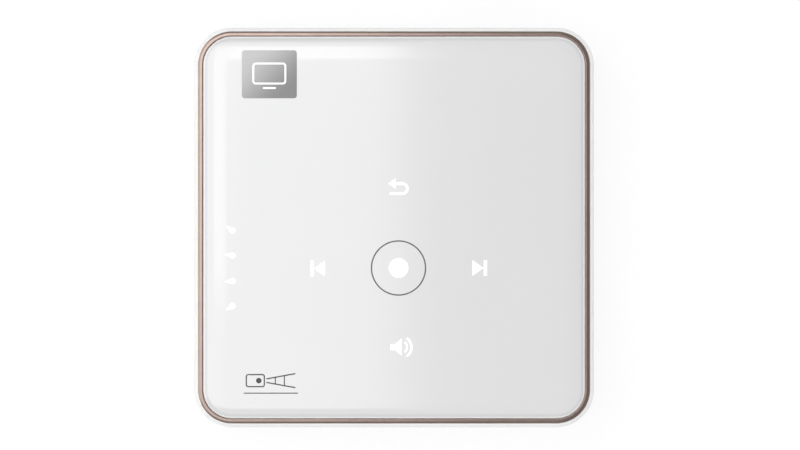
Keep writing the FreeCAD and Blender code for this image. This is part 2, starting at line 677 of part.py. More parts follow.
def ring_of(body, name, features, axis, count):
    """Repeats features round an axis, which is a sketch's own or an origin axis."""
    pattern = body.newObject("PartDesign::PolarPattern", name)
    pattern.Originals = features
    pattern.Axis = axis
    pattern.Angle = 360
    bind(pattern, Occurrences=count)
    body.Tip = pattern
    return pattern


def mirrored(body, name, features, *planes):
    """Repeats features on the other side of one or two origin planes."""
    pattern = body.newObject("PartDesign::MultiTransform", name)
    steps = []
    for plane in planes:
        step = body.newObject("PartDesign::Mirrored", f"{name}_{plane[:2].lower()}")
        step.MirrorPlane = (origin_feature(body, plane), [""])
        steps.append(step)
    pattern.Originals = features
    pattern.Transformations = steps
    body.Tip = pattern
    return pattern


FOUR_CORNERS = ("YZ_Plane", "XZ_Plane")


def bent_path(sketch, corners, bend):
    """Draws level and upright lines from corner to corner, with equal bends where they meet."""
    spots = [point(number(x), number(y)) for x, y in corners]
    radius, last = number(bend), len(corners) - 2
    ways = [(there - here).normalize() for here, there in zip(spots, spots[1:])]
    for i, way in enumerate(ways):
        start = spots[i] + way * radius if i else spots[i]
        end = spots[i + 1] - way * radius if i < last else spots[i + 1]
        sketch.addGeometry(Part.LineSegment(start, end))
        upright = abs(way.y) > 0.5
        relate(sketch, ("Vertical" if upright else "Horizontal", i))
        constrain(sketch, corners[i][not upright], "DistanceX" if upright else "DistanceY", -1, 1, i, 1)
    for i, (way, onward) in enumerate(zip(ways, ways[1:])):
        leftward = way.cross(onward).z > 0
        centre = spots[i + 1] + (onward - way) * radius
        first = math.atan2(*(-onward if leftward else way)[1::-1])
        ring = Part.Circle(centre, FreeCAD.Vector(0, 0, 1), radius)
        arc = sketch.addGeometry(Part.ArcOfCircle(ring, first, first + math.pi / 2))
        near, far = (1, 2) if leftward else (2, 1)
        relate(sketch, ("Tangent", i, 2, arc, near), ("Tangent", arc, far, i + 1, 1))
    relate(sketch, *(("Equal", last + 1, last + 1 + i) for i in range(1, last)))
    constrain(sketch, bend, "Radius", last + 1)
    for corner, way, line, end in ((corners[0], ways[0], 0, 1), (corners[-1], ways[-1], last, 2)):
        along = abs(way.y) > 0.5
        constrain(sketch, corner[along], "DistanceY" if along else "DistanceX", -1, 1, line, end)


def swept(body, name, path, section):
    """Adds a section swept along a path."""
    feature = body.newObject("PartDesign::AdditivePipe", name)
    feature.Profile = section
    feature.Spine = (path, [])
    return feature


def edges_where(feature, test):
    """Names of the feature's edges whose every vertex passes the test."""
    doc.recompute()
    return [
        f"Edge{i}"
        for i, edge in enumerate(feature.Shape.Edges, 1)
        if edge.Vertexes and all(test(v.Point) for v in edge.Vertexes)
    ]


def finish_edges(kind, body, name, base, test, size):
    """A fillet or chamfer on the base feature's edges that pass the test."""
    feature = body.newObject(kind, name)
    feature.Base = (base, edges_where(base, test))
    bind(feature, **{"Radius" if kind.endswith("Fillet") else "Size": size})
    doc.recompute()
    return feature


def fillet(*arguments):
    """Rounds edges, as finish_edges says."""
    return finish_edges("PartDesign::Fillet", *arguments)


def chamfer(*arguments):
    """Bevels edges, as finish_edges says."""
    return finish_edges("PartDesign::Chamfer", *arguments)


def at_level(z):
    """A test for edges that lie in one horizontal plane."""
    height = number(z)
    return lambda p: abs(p.z - height) < 1e-4


def primitive(kind, name, **formulas):
    """A Part primitive bound to formulas."""
    return bind(doc.addObject(kind, name), **formulas)


def as_part(thing, label):
    """Makes an object of the document a sub-part."""
    thing.Label = label
    PARTS.append(thing)
    return thing


def lens(name, diameter, thickness, front_radius, back_radius):
    """A lens with two domed faces along +Z from the origin: a cylinder within two balls."""
    rim = primitive("Part::Cylinder", f"{name}_rim", Radius=f"({diameter}) / 2", Height=thickness)
    back = primitive("Part::Sphere", f"{name}_back", Radius=back_radius, Placement__Base__z=back_radius)
    front = primitive("Part::Sphere", f"{name}_front", Radius=front_radius)
    bind(front, Placement__Base__z=f"({thickness}) - ({front_radius})")
    element = doc.addObject("Part::MultiCommon", name)
    element.Shapes = [rim, back, front]
    return element


FACING = {  # turns that bring +Z onto another direction
    "x": FreeCAD.Rotation(FreeCAD.Vector(0, 1, 0), 90),
    "y": FreeCAD.Rotation(FreeCAD.Vector(1, 0, 0), -90),
    "-y": FreeCAD.Rotation(FreeCAD.Vector(1, 0, 0), 90),
}


def stand(thing, facing, x, y, z):
    """Turns an object's +Z to face a direction and puts its origin at a point."""
    thing.Placement = FreeCAD.Placement(FreeCAD.Vector(0, 0, 0), FACING[facing])
    return bind(thing, Placement__Base__x=x, Placement__Base__y=y, Placement__Base__z=z)


def copy_of(master, name):
    """A link to another object, with a placement of its own."""
    link = doc.addObject("App::Link", name)
    link.LinkedObject = master
    return link


def group(label, *things):
    """One sub-part made of several separate solids."""
    compound = doc.addObject("Part::Compound", label)
    compound.Links = list(things)
    return as_part(compound, label)


class GearProfile:
    """The outline of a spur gear with involute teeth, one of them centred on the profile's own X axis."""

    def __init__(self, profile):
        profile.addProperty("App::PropertyInteger", "Teeth", "Gear")
        profile.addProperty("App::PropertyFloat", "Module", "Gear")
        profile.addProperty("App::PropertyFloat", "PressureAngle", "Gear")
        profile.Proxy = self

    def execute(self, profile):
        """Draws the outline again from its properties."""
        wires = fcgear.FCWireBuilder()
        involute.CreateExternalGear(wires, profile.Module, profile.Teeth, profile.PressureAngle, split=False)
        profile.Shape = Part.Wire([edge.toShape() for edge in wires.wire])
        profile.positionBySupport()


def add_gear(body, name, teeth, x, back, turn="0"):
    """Pads a gear whose axis lies along Y at the height of the lens."""
    profile = doc.addObject("Part::Part2DObjectPython", f"{name}_profile")
    GearProfile(profile)
    body.addObject(profile)
    bind(profile, Teeth=teeth, Module="gear_module", PressureAngle="gear_angle")
    place_on(profile, body, "y", (x, "lens_z"), back)
    bind(profile, AttachmentOffset__Rotation__Angle=turn)
    doc.recompute()
    feature = body.newObject("PartDesign::Pad", name)
    feature.Profile = profile
    feature.Reversed = True
    bind(feature, Length="gear_width")
    return feature


# ---------------------------------------------------------------- case


def make_touch_panel():
    """The glossy top cover, flat in the middle with a curved border that falls away to its rim."""
    body = new_body("touch_panel")
    slab = add(body, "panel_slab", "z", outline("panel_inset"), "ledge", "case_height")
    path = new_sketch(body, "crown_path", "z", ("0", "0"), "ledge")
    outline("panel_inset")(path)
    profile = new_sketch(body, "crown_profile", "y", ("case_width / 2 - panel_inset", "case_height"), "0")
    span, radius = number("panel_crown"), number("crown_radius")
    drop = radius - math.sqrt(radius**2 - span**2)
    round_border = Part.Circle(point(-span, -radius), FreeCAD.Vector(0, 0, 1), radius)
    start = math.asin(math.sqrt(radius**2 - span**2) / radius)
    profile.addGeometry(Part.ArcOfCircle(round_border, start, math.pi / 2))
    corners = [(0, -drop), (BEYOND, -drop), (BEYOND, BEYOND), (-span, BEYOND), (-span, 0)]
    for here, there in zip(corners, corners[1:]):
        profile.addGeometry(Part.LineSegment(point(*here), point(*there)))
    relate(profile, *(("Coincident", i, 2, i + 1, 1) for i in (1, 2, 3)))
    relate(profile, ("Coincident", 0, 1, 1, 1), ("Coincident", 4, 2, 0, 2), ("Horizontal", 1), ("Vertical", 2))
    relate(profile, ("Horizontal", 3), ("Vertical", 4), ("PointOnObject", 1, 1, -2), ("Vertical", 0, 2, 0, 3))
    relate(profile, ("PointOnObject", 0, 2, -1))
    constrain(profile, "panel_crown", "DistanceX", 0, 3, -1, 1)
    constrain(profile, "crown_radius", "Radius", 0)
    constrain(profile, BEYOND, "DistanceX", 1, 1, 1, 2)
    constrain(profile, BEYOND, "DistanceY", -1, 1, 3, 1)
    crown = body.newObject("PartDesign::SubtractivePipe", "crown")
    crown.Profile = profile
    crown.Spine = (path, [])
    doc.recompute()
    rim = number("case_height - crown_radius + sqrt(crown_radius^2 - panel_crown^2)")
    fillet(body, "rim_round", crown, lambda p: abs(p.z - rim) < 1e-4, "panel_edge_round")
    return slab


def make_trim_ring():
    """The plated bead between the panel and the white shoulder, its top a half round."""
    body = new_body("trim_ring")
    path = new_sketch(body, "ring_path", "z", ("0", "0"), "ledge")
    outline("shoulder_width")(path)
    bottom = "ledge - ring_sunk"
    crest = "shoulder_top + ring_proud"
    profile = new_sketch(body, "ring_profile", "y", ("case_width / 2 - shoulder_width", bottom), "0")
    width, height = number("ring_width"), number(f"{crest} - ring_width / 2 - ({bottom})")
    corners = [point(0, height), point(0, 0), point(-width, 0), point(-width, height)]
    for here, there in zip(corners, corners[1:]):
        profile.addGeometry(Part.LineSegment(here, there))
    bead = Part.Circle(point(-width / 2, height), FreeCAD.Vector(0, 0, 1), width / 2)
    profile.addGeometry(Part.ArcOfCircle(bead, 0, math.pi))
    relate(profile, ("Coincident", 0, 2, 1, 1), ("Coincident", 1, 2, 2, 1), ("Coincident", 0, 2, -1, 1))
    relate(profile, ("Vertical", 0), ("Horizontal", 1), ("Vertical", 2))
    relate(profile, ("Tangent", 3, 1, 0, 1), ("Tangent", 2, 2, 3, 2))
    constrain(profile, "ring_width", "DistanceX", 1, 2, 1, 1)
    constrain(profile, f"{crest} - ring_width / 2 - ({bottom})", "DistanceY", 0, 2, 0, 1)
    return swept(body, "bead", path, profile)


def key_places():
    """The five key lamps: the middle of the cross and its four ends."""
    steps = ((0, 0), (0, 1), (0, -1), (1, 0), (-1, 0))
    return [(f"key_x + {a} * key_pitch", f"key_y + {b} * key_pitch") for a, b in steps]


def gauge_places():
    """The column of charge lamps, beside the middle of the key cross."""
    count = int(number("gauge_count"))
    return [("gauge_x", f"key_y + ({i} - (gauge_count - 1) / 2) * gauge_pitch") for i in range(count)]


def make_touch_stack():
    """The light guide, the touch board under it and the lamps that stand in the guide's windows."""
    guide = new_body("light_guide")
    add(guide, "guide_sheet", "z", outline("pocket_inset + fit_gap"), "guide_bottom", "ledge")
    board = new_body("touch_board")
    add(board, "touch_sheet", "z", outline("pocket_inset + fit_gap"), "deck_top", "guide_bottom")
    lamps = []
    for kind, side, places in (("key", "key_lamp", key_places()), ("gauge", "gauge_lamp", gauge_places())):
        window = f"{side} + 2 * lamp_window"
        for i, spot in enumerate(places):
            cut(guide, f"{kind}_window_{i}", "z", rectangle(window, window), "guide_bottom", "ledge", at=spot)
            lamp = primitive("Part::Box", f"{kind}_lamp_{i}", Length=side, Width=side, Height="lamp_height")
            bind(lamp, Placement__Base__x=f"{spot[0]} - {side} / 2", Placement__Base__y=f"{spot[1]} - {side} / 2")
            lamps.append(bind(lamp, Placement__Base__z="guide_bottom"))
    group("key_lamps", *lamps)


def make_housing():
    """The white middle of the case: side walls, the deck under the touch board and every opening in the walls."""
    body = new_body("housing")
    block = add(body, "block", "z", outline(), "seam", "shoulder_top")
    rounding = fillet(body, "shoulder", block, at_level("shoulder_top"), "shoulder_round")
    chamfer(body, "seam_bevel", rounding, at_level("seam"), "seam_chamfer")
    cut(body, "panel_recess", "z", outline("shoulder_width"), "ledge", "shoulder_top")
    groove = both(outline("shoulder_width"), outline("shoulder_width + ring_width"))
    cut(body, "ring_groove", "z", groove, "ledge - ring_sunk", "ledge")
    cut(body, "board_recess", "z", outline("pocket_inset"), "deck_top", "ledge")
    cut(body, "cavity", "z", outline("wall"), "seam", "deck_bottom")
    way = slot("2 * ribbon_width", "ribbon_slot")
    cut(body, "ribbon_way", "z", way, "deck_bottom", "deck_top", at=("key_x", RIBBON_Y))
    add_housing_bosses(body)
    cut_front_wall(body)
    cut_right_wall(body)
    cut_left_wall(body)
    cut_back_wall(body)


CASE_SCREW = ("case_width / 2 - screw_inset", "case_depth / 2 - screw_inset")
RIBBON_Y = "board_front - 4"


def board_screw_y():
    """Front to back places of the main board's screws."""
    return ("board_back + hole_inset", "board_front - hole_inset")


def add_housing_bosses(body):
    """Bosses for the case screws, posts for the main board and the cheeks that hold the speaker."""
    boss = add(body, "boss", "z", circle("boss_diameter"), "boss_bottom", "deck_bottom", at=CASE_SCREW)
    hole_top = "screw_seat + screw_length + end_gap"
    pilot = cut(body, "pilot", "z", circle("screw_shank + 2 * screw_gap"), "boss_bottom", hole_top, at=CASE_SCREW)
    mirrored(body, "bosses", [boss, pilot], *FOUR_CORNERS)
    for side, y in zip(("back", "front"), board_screw_y()):
        spot = ("board_width / 2 - hole_inset", y)
        post = add(body, f"{side}_post", "z", circle("board_post"), "board_top", "deck_bottom", at=spot)
        hole = circle("small_shank + 2 * screw_gap")
        top = "board_bottom + small_length + end_gap"
        bore = cut(body, f"{side}_post_hole", "z", hole, "board_top", top, at=spot)
        mirrored(body, f"{side}_posts", [post, bore], "YZ_Plane")
    reach = "gasket_thickness + speaker_depth"
    for name, side in (("back", -1), ("front", 1)):
        spot = (f"inside_x - ({reach}) / 2", f"speaker_y + {side} * (speaker_length + cheek_thickness + 2 * fit_gap) / 2")
        shape = rectangle(reach, "cheek_thickness")
        add(body, f"{name}_cheek", "z", shape, "speaker_z - speaker_height / 2", "deck_bottom", at=spot)


def cut_front_wall(body):
    """The stiffer front wall, the bezel's seat, the collar that keeps dust out round the barrel, and the inlets."""
    lower, upper = "seam + tongue_height + fit_gap", "deck_bottom"
    stiffener = rectangle("case_width - 2 * case_corner", f"{upper} - ({lower})")
    middle = ("0", f"({upper} + {lower}) / 2")
    add(body, "stiffener", "y", stiffener, "inside_y - front_extra", "inside_y", at=middle)
    at = ("lens_x", "lens_z")
    collar_back = "inside_y - collar_length"
    add(body, "collar", "y", circle("collar_outer"), collar_back, "inside_y", at=at)
    cut(body, "lens_window", "y", circle("bezel_throat + 1"), collar_back, "case_depth / 2", at=at)
    seat = rounded("bezel_width", "bezel_height", "bezel_corner")
    cut(body, "bezel_seat", "y", seat, "bezel_back", "case_depth / 2", at=at)
    shape = slot("vent_height", "vent_width", upright=True)
    back = "inside_y - front_extra"
    inlet = cut(body, "inlet", "y", shape, back, "case_depth / 2", at=("front_vent_x", "vent_z"))
    row_of(body, "inlets", [inlet], "x", "vent_pitch", "front_vents")


def cut_right_wall(body):
    """The finger scoop and window of the focus wheel, the socket of its axle and the speaker grille."""
    scoop_middle = ("case_width / 2 - scoop_depth + scoop_radius", "(rim_back + rim_front) / 2")
    low, high = "lens_z - scoop_height / 2", "lens_z + scoop_height / 2"
    cut(body, "finger_scoop", "z", circle("2 * scoop_radius"), low, high, at=scoop_middle)
    chord = "2 * sqrt(wheel_radius^2 - (inside_x - wheel_x)^2) + 2 * wheel_window_gap"
    window = rectangle("wheel_width + 2 * wheel_window_gap", chord)
    middle = ("(rim_back + rim_front) / 2", "lens_z")
    cut(body, "wheel_window", "x", window, f"inside_x - {BEYOND}", "case_width / 2", at=middle)
    pocket = rectangle("gear_width + 4 * run_gap", "wheel_radius")
    middle = ("drive_back + gear_width / 2", "lens_z")
    cut(body, "gear_pocket", "x", pocket, "inside_x", "inside_x + gear_pocket", at=middle)
    axle = ("wheel_x", "lens_z")
    add(body, "axle_boss", "y", circle("2 * axle_socket"), "rim_front + run_gap", f"{CASE_SCREW[1]} - 1", at=axle)
    hole = circle("axle_diameter + 2 * axle_gap")
    cut(body, "axle_hole", "y", hole, "rim_front + run_gap", "rim_front + run_gap + axle_grip + run_gap", at=axle)
    first = ("speaker_y - (grille_columns - 1) / 2 * grille_pitch", "speaker_z - (grille_rows - 1) / 2 * grille_pitch")
    hole = cut(body, "grille_hole", "x", circle("grille_hole"), f"inside_x - {BEYOND}", "case_width / 2", at=first)
    columns, rows = ("y", "grille_pitch", "grille_columns"), ("z", "grille_pitch", "grille_rows")
    grid_of(body, "grille", [hole], columns, rows)


def cut_left_wall(body):
    """The outlet slots in front of the fins, and the dish and slot of the power switch."""
    shape = slot("vent_height", "vent_width", upright=True)
    outlet = cut(body, "outlet", "x", shape, "-case_width / 2", f"{BEYOND} - inside_x", at=("side_vent_y", "vent_z"))
    row_of(body, "outlets", [outlet], "y", "vent_pitch", "side_vents")
    at = ("switch_y", "switch_z")
    dish = slot("dish_length", "dish_height")
    cut(body, "switch_dish", "x", dish, "-case_width / 2", "dish_depth - case_width / 2", at=at)
    way = rectangle("knob_slot", "knob_height + 2 * knob_play")
    cut(body, "switch_slot", "x", way, "-case_width / 2", f"{BEYOND} - inside_x", at=at)


def cut_back_wall(body):
    """The cut-outs for the four sockets."""
    low, high = "-case_depth / 2", f"{BEYOND} - inside_y"
    for name in ("video", "usb", "charge"):
        shape = rounded(f"{name}_width + 2 * port_gap", f"{name}_height + 2 * port_gap", "port_gap + 0.35")
        cut(body, f"{name}_cutout", "y", shape, low, high, at=(f"{name}_x", f"board_top + {name}_height / 2"))
    nose = circle("audio_nose + 2 * port_gap")
    cut(body, "audio_cutout", "y", nose, low, high, at=("audio_x", "board_top + audio_height / 2"))


def make_base_cover():
    """The shallow tray that closes the case from below, with its tongue, posts, battery fence and tripod boss."""
    body = new_body("base_cover")
    slab = add(body, "tray", "z", outline(), "foot_proud", "seam")
    rounding = fillet(body, "lower_edge", slab, at_level("foot_proud"), "base_round")
    chamfer(body, "seam_bevel", rounding, at_level("seam"), "seam_chamfer")
    cut(body, "tray_inside", "z", outline("tray_inset"), "floor_top", "seam")
    tongue = both(outline("wall + fit_gap"), outline("tray_inset"))
    add(body, "tongue", "z", tongue, "seam", "seam + tongue_height")
    post = add(body, "post", "z", circle("boss_diameter"), "floor_top", "boss_bottom", at=CASE_SCREW)
    head = circle("screw_head + 2 * head_gap")
    recess = cut(body, "head_recess", "z", head, "foot_proud", "screw_seat", at=CASE_SCREW)
    way = circle("screw_shank + 2 * screw_gap")
    hole = cut(body, "screw_hole", "z", way, "screw_seat", "boss_bottom", at=CASE_SCREW)
    seat = circle("foot_diameter + 2 * fit_gap")
    foot = cut(body, "foot_recess", "z", seat, "foot_proud", "foot_proud + foot_sunk", at=FOOT)
    mirrored(body, "corners", [post, recess, hole, foot], *FOUR_CORNERS)
    fence_inner = rectangle("battery_length + 2 * fence_gap", "battery_width + 2 * fence_gap")
    wide = "2 * (fence_gap + fence_thickness)"
    fence = both(rectangle(f"battery_length + {wide}", f"battery_width + {wide}"), fence_inner)
    add(body, "battery_fence", "z", fence, "floor_top", "floor_top + fence_height", at=("0", "battery_y"))
    for name, x, y in LUGS:
        post = circle("2 * (lug_radius - lug_step)")
        add(body, f"post_{name}", "z", post, "floor_top", "engine_bottom", at=(x, y))
        hole = circle("small_shank + 2 * screw_gap")
        cut(body, f"post_{name}_hole", "z", hole, LUG_SCREW_TIP, "engine_bottom", at=(x, y))
    span = "fan_size - 2 * rail_width"
    for name, side in (("back", -1), ("front", 1)):
        spot = ("(fan_x + fan_size / 2 + fin_x - fin_depth / 2) / 2", f"fan_y + {side} * ({span}) / 2")
        rail = rectangle("fan_x + fan_size / 2 - fin_x + fin_depth / 2", "rail_width")
        add(body, f"{name}_rail", "z", rail, "floor_top", "fan_bottom", at=spot)
    add(body, "nut_boss", "z", circle("nut_diameter + 2 * nut_wall"), "floor_top", "nut_top + nut_cap")
    cut(body, "nut_hole", "z", circle("nut_diameter"), "foot_proud", "nut_top")
    shape = slot("floor_vent_length", "vent_width", upright=True)
    first = ("fan_x - (floor_vents - 1) / 2 * vent_pitch", "fan_y")
    vent = cut(body, "floor_vent", "z", shape, "foot_proud", "floor_top", at=first)
    row_of(body, "floor_vents", [vent], "x", "vent_pitch", "floor_vents")
    wheel = rectangle("2 * tongue_thickness", "wheel_width + 2 * wheel_window_gap")
    spot = ("inside_x - tongue_thickness", "(rim_back + rim_front) / 2")
    cut(body, "wheel_notch", "z", wheel, "seam", "seam + tongue_height", at=spot)
    under_collar = rectangle("collar_outer / 2 + fit_gap", "2 * tongue_thickness")
    spot = ("lens_x", "inside_y - tongue_thickness")
    cut(body, "collar_notch", "z", under_collar, "seam", "seam + tongue_height", at=spot)


FOOT = ("case_width / 2 - foot_inset", "case_depth / 2 - foot_inset")
LUGS = (("a", "lug_a_x", "lug_a_y"), ("b", "lug_b_x", "lug_b_y"), ("c", "lug_c_x", "lug_c_y"))
LUG_SCREW_TIP = "engine_bottom + lug_height - small_length - 0.1"


def make_rubber_feet():
    """Four round rubber feet, each in a recess of the base cover."""
    body = new_body("rubber_feet")
    pad = add(body, "foot", "z", circle("foot_diameter"), "0", "foot_proud + foot_sunk", at=FOOT)
    fillet(body, "foot_rim", pad, at_level("0"), "foot_round")
    mirrored(body, "feet", [pad, body.Tip], *FOUR_CORNERS)


def make_case_screws():
    """The four screws that hold the base cover to the housing, each with a cross recess."""
    body = new_body("case_screws")
    profile = (
        ("0", "screw_seat - screw_head_height"),
        ("screw_head / 2", "screw_seat - screw_head_height"),
        ("screw_head / 2", "screw_seat"),
        ("screw_shank / 2", "screw_seat"),
        ("screw_shank / 2", "screw_seat + screw_length - screw_shank / 2"),
        ("0", "screw_seat + screw_length"),
    )
    screw = turned_upright(body, "screw", profile, CASE_SCREW)
    low, high = "screw_seat - screw_head_height", "screw_seat - screw_head_height + cross_depth"
    across = cut(body, "cross_a", "z", rectangle("cross_length", "cross_width"), low, high, at=CASE_SCREW)
    along = cut(body, "cross_b", "z", rectangle("cross_width", "cross_length"), low, high, at=CASE_SCREW)
    mirrored(body, "screws", [screw, across, along], *FOUR_CORNERS)


def make_tripod_nut():
    """The metal nut moulded into the base cover, its bore the core of a 1/4 inch thread."""
    body = new_body("tripod_nut")
    radius, core = "nut_diameter / 2", "nut_bore / 2"
    third = "nut_length / 3"
    profile = (
        (f"{core} + nut_mouth", "foot_proud"),
        (radius, "foot_proud"),
        (radius, f"foot_proud + {third}"),
        (f"{radius} - nut_groove", f"foot_proud + {third}"),
        (f"{radius} - nut_groove", f"nut_top - {third}"),
        (radius, f"nut_top - {third}"),
        (radius, "nut_top"),
        (core, "nut_top"),
        (core, "foot_proud + nut_mouth"),
    )
    turned_upright(body, "nut", profile, ("0", "0"))


# ---------------------------------------------------------------- electronics


def make_battery():
    """The soft battery pouch on its foam pad."""
    body = new_body("battery")
    shape = rounded("battery_length", "battery_width", "battery_round")
    top = "battery_bottom + battery_thickness"
    pouch = add(body, "pouch", "z", shape, "battery_bottom", top, at=("0", "battery_y"))
    fillet(body, "pouch_edge", pouch, at_level(top), "battery_round")
    pad = new_body("battery_pad")
    shape = rectangle("battery_length - 2 * pad_margin", "battery_width - 2 * pad_margin")
    add(pad, "foam", "z", shape, "floor_top", "battery_bottom", at=("0", "battery_y"))


def make_main_board():
    """The main board with its wing for the power switch, and the four screws that hold it up to the posts."""
    body = new_body("main_board")
    middle = ("0", "(board_back + board_front) / 2")
    shape = rounded("board_width", "board_length", "board_corner")
    add(body, "board", "z", shape, "board_bottom", "board_top", at=middle)
    wing = rectangle("wing_width + board_corner", "wing_length")
    spot = ("-(board_width + wing_width - board_corner) / 2", "switch_y")
    add(body, "wing", "z", wing, "board_bottom", "board_top", at=spot)
    for side, y in zip(("back", "front"), board_screw_y()):
        hole = circle("small_shank + 2 * head_gap")
        spot = ("board_width / 2 - hole_inset", y)
        drill = cut(body, f"{side}_hole", "z", hole, "board_bottom", "board_top", at=spot)
        mirrored(body, f"{side}_holes", [drill], "YZ_Plane")
    screw = small_screw("board_screw")
    screws = []
    for x in ("board_width / 2 - hole_inset", "hole_inset - board_width / 2"):
        for y in board_screw_y():
            one = copy_of(screw, "board_screw_copy")
            screws.append(bind(one, Placement__Base__x=x, Placement__Base__y=y, Placement__Base__z="board_bottom"))
    group("board_screws", *screws)


def small_screw(name):
    """An inner screw with its head below the origin and its shank along +Z."""
    body = doc.addObject("PartDesign::Body", name)
    profile = (
        ("0", "-small_head_height"),
        ("small_head / 2", "-small_head_height"),
        ("small_head / 2", "0"),
        ("small_shank / 2", "0"),
        ("small_shank / 2", "small_length - small_shank / 2"),
        ("0", "small_length"),
    )
    turned_upright(body, f"{name}_shape", profile, ("0", "0"))
    cross = rectangle("cross_width", "small_head - 2 * head_gap")
    cut(body, f"{name}_slot", "z", cross, "-small_head_height", "-small_head_height / 2")
    return body


# Components on top of the main board: name, x, y, width, depth, height.
CHIPS = (
    ("processor", -5.0, -17.0, 13.0, 13.0, 1.3),
    ("picture_controller", 11.0, -17.0, 11.0, 11.0, 1.2),
    ("memory_a", -19.0, -12.0, 8.0, 11.0, 1.0),
    ("memory_b", -19.0, -21.5, 8.0, 6.0, 1.0),
    ("charger", 21.0, -19.0, 5.0, 5.0, 0.9),
)
POWER_PARTS = (
    ("coil_a", 21.0, -12.5, 5.0, 5.0, 2.2),
    ("coil_b", 12.0, -7.5, 4.0, 4.0, 2.0),
    ("coil_c", -8.0, -8.0, 4.0, 4.0, 2.0),
)
PLUGS = (
    ("battery_plug", "plug_x", "battery_plug_y", "plug_width", 5.0, "plug_height"),
    ("speaker_plug", "plug_x", "speaker_plug_y", "plug_width", 4.0, "plug_height"),
    ("touch_plug", "key_x", RIBBON_Y, "ribbon_width + 2", 2.6, "ribbon_plug"),
    ("fan_plug", -26.4, -13.6, 3.6, 5.0, "plug_height"),
)


def make_components():
    """Chips, coils and plug connectors that stand on the main board."""
    for label, rows in (("main_chips", CHIPS), ("power_coils", POWER_PARTS), ("board_plugs", PLUGS)):
        body = new_body(label)
        for name, x, y, width, depth, height in rows:
            shape = rectangle(width, depth)
            add(body, name, "z", shape, "board_top", f"board_top + {height}", at=(x, y))


def make_video_socket():
    """The wide picture socket: a bent shell with bevelled lower corners round a flat tongue."""
    body = new_body("video_socket")
    metal_box(body, "video", "video_bevel")
    tongue = rectangle("video_tongue", "video_blade")
    middle = ("video_x", "board_top + video_height / 2 + tongue_low")
    back = "socket_mouth + video_depth - metal"
    add(body, "tongue", "y", tongue, "socket_mouth + tongue_sunk", back, at=middle)


def make_usb_socket():
    """The flat socket for a memory stick: a rectangular shell with its tongue near the top."""
    body = new_body("usb_socket")
    metal_box(body, "usb", "0.5")
    tongue = rectangle("usb_tongue", "usb_blade")
    middle = ("usb_x", "board_top + usb_height / 2 + usb_blade / 2 + tongue_low")
    back = "socket_mouth + usb_depth - metal"
    add(body, "tongue", "y", tongue, "socket_mouth + tongue_sunk", back, at=middle)


def make_charge_socket():
    """The small charging socket."""
    body = new_body("charge_socket")
    metal_box(body, "charge", "charge_bevel")
    tongue = rectangle("charge_tongue", "charge_blade")
    middle = ("charge_x", "board_top + charge_height / 2 + tongue_low")
    back = "socket_mouth + charge_depth - metal"
    add(body, "tongue", "y", tongue, "socket_mouth + tongue_sunk", back, at=middle)


def metal_box(body, name, bevel):
    """A sheet-metal shell open towards the back of the case, its lower corners bevelled."""
    wide, high, deep = f"{name}_width", f"{name}_height", f"{name}_depth"

    def hexagon(inset):
        x, z = f"({wide} / 2 - {inset})", f"({high} / 2 - {inset})"
        cut_off = f"({bevel})"
        return polygon(
            (f"{cut_off} - {x}", f"-{z}"), (f"{x} - {cut_off}", f"-{z}"), (x, f"{cut_off} - {z}"),
            (x, z), (f"-{x}", z), (f"-{x}", f"{cut_off} - {z}"),
        )

    at = (f"{name}_x", f"board_top + {high} / 2")
    add(body, f"{name}_shell", "y", hexagon("0"), "socket_mouth", f"socket_mouth + {deep}", at=at)
    back = f"socket_mouth + {deep} - metal"
    cut(body, f"{name}_inside", "y", hexagon("metal"), "socket_mouth", back, at=at)


def make_audio_jack():
    """The headphone socket: a block with a round nose that the plug goes into."""
    body = new_body("audio_jack")
    at = ("audio_x", "board_top + audio_height / 2")
    back = "socket_mouth + audio_nose_length"
    add(body, "jack_block", "y", rectangle("audio_width", "audio_height"), back, f"{back} + audio_depth", at=at)
    add(body, "jack_nose", "y", circle("audio_nose"), "socket_mouth", back, at=at)
    cut(body, "jack_bore", "y", circle("audio_bore"), "socket_mouth", "socket_mouth + audio_bore_length", at=at)


def make_power_switch():
    """The slide switch on the board's wing, and the knob that reaches out through the wall."""
    body = new_body("power_switch")
    at = ("switch_y", "switch_z")
    inner = "switch_face + switch_width"
    add(body, "switch_body", "x", rectangle("switch_length", "switch_height"), "switch_face", inner, at=at)
    way = rectangle("stem_width + switch_travel + 2 * knob_play", "stem_width + 2 * knob_play")
    cut(body, "switch_way", "x", way, "switch_face", "switch_face + stem_reach + knob_play", at=at)
    knob = new_body("switch_knob")
    at = ("knob_rest", "switch_z")
    flange_out = "fit_gap - inside_x"
    flange_in = f"{flange_out} + knob_flange"
    flange = rectangle("flange_length", "knob_height + 2 * knob_lip")
    add(knob, "flange", "x", flange, flange_out, flange_in, at=at)
    add(knob, "stem", "x", rectangle("stem_width", "stem_width"), flange_in, "switch_face + stem_reach", at=at)
    cap = rectangle("knob_length", "knob_height")
    add(knob, "cap", "x", cap, "knob_sunk - case_width / 2", flange_out, at=at)
    first = ("knob_rest - rib_pitch", "switch_z")
    face = "knob_sunk - case_width / 2"
    groove = rectangle("rib_groove", "knob_height")
    notch = cut(knob, "grip_groove", "x", groove, face, f"{face} + rib_groove", at=first)
    row_of(knob, "grip", [notch], "y", "rib_pitch", 3)


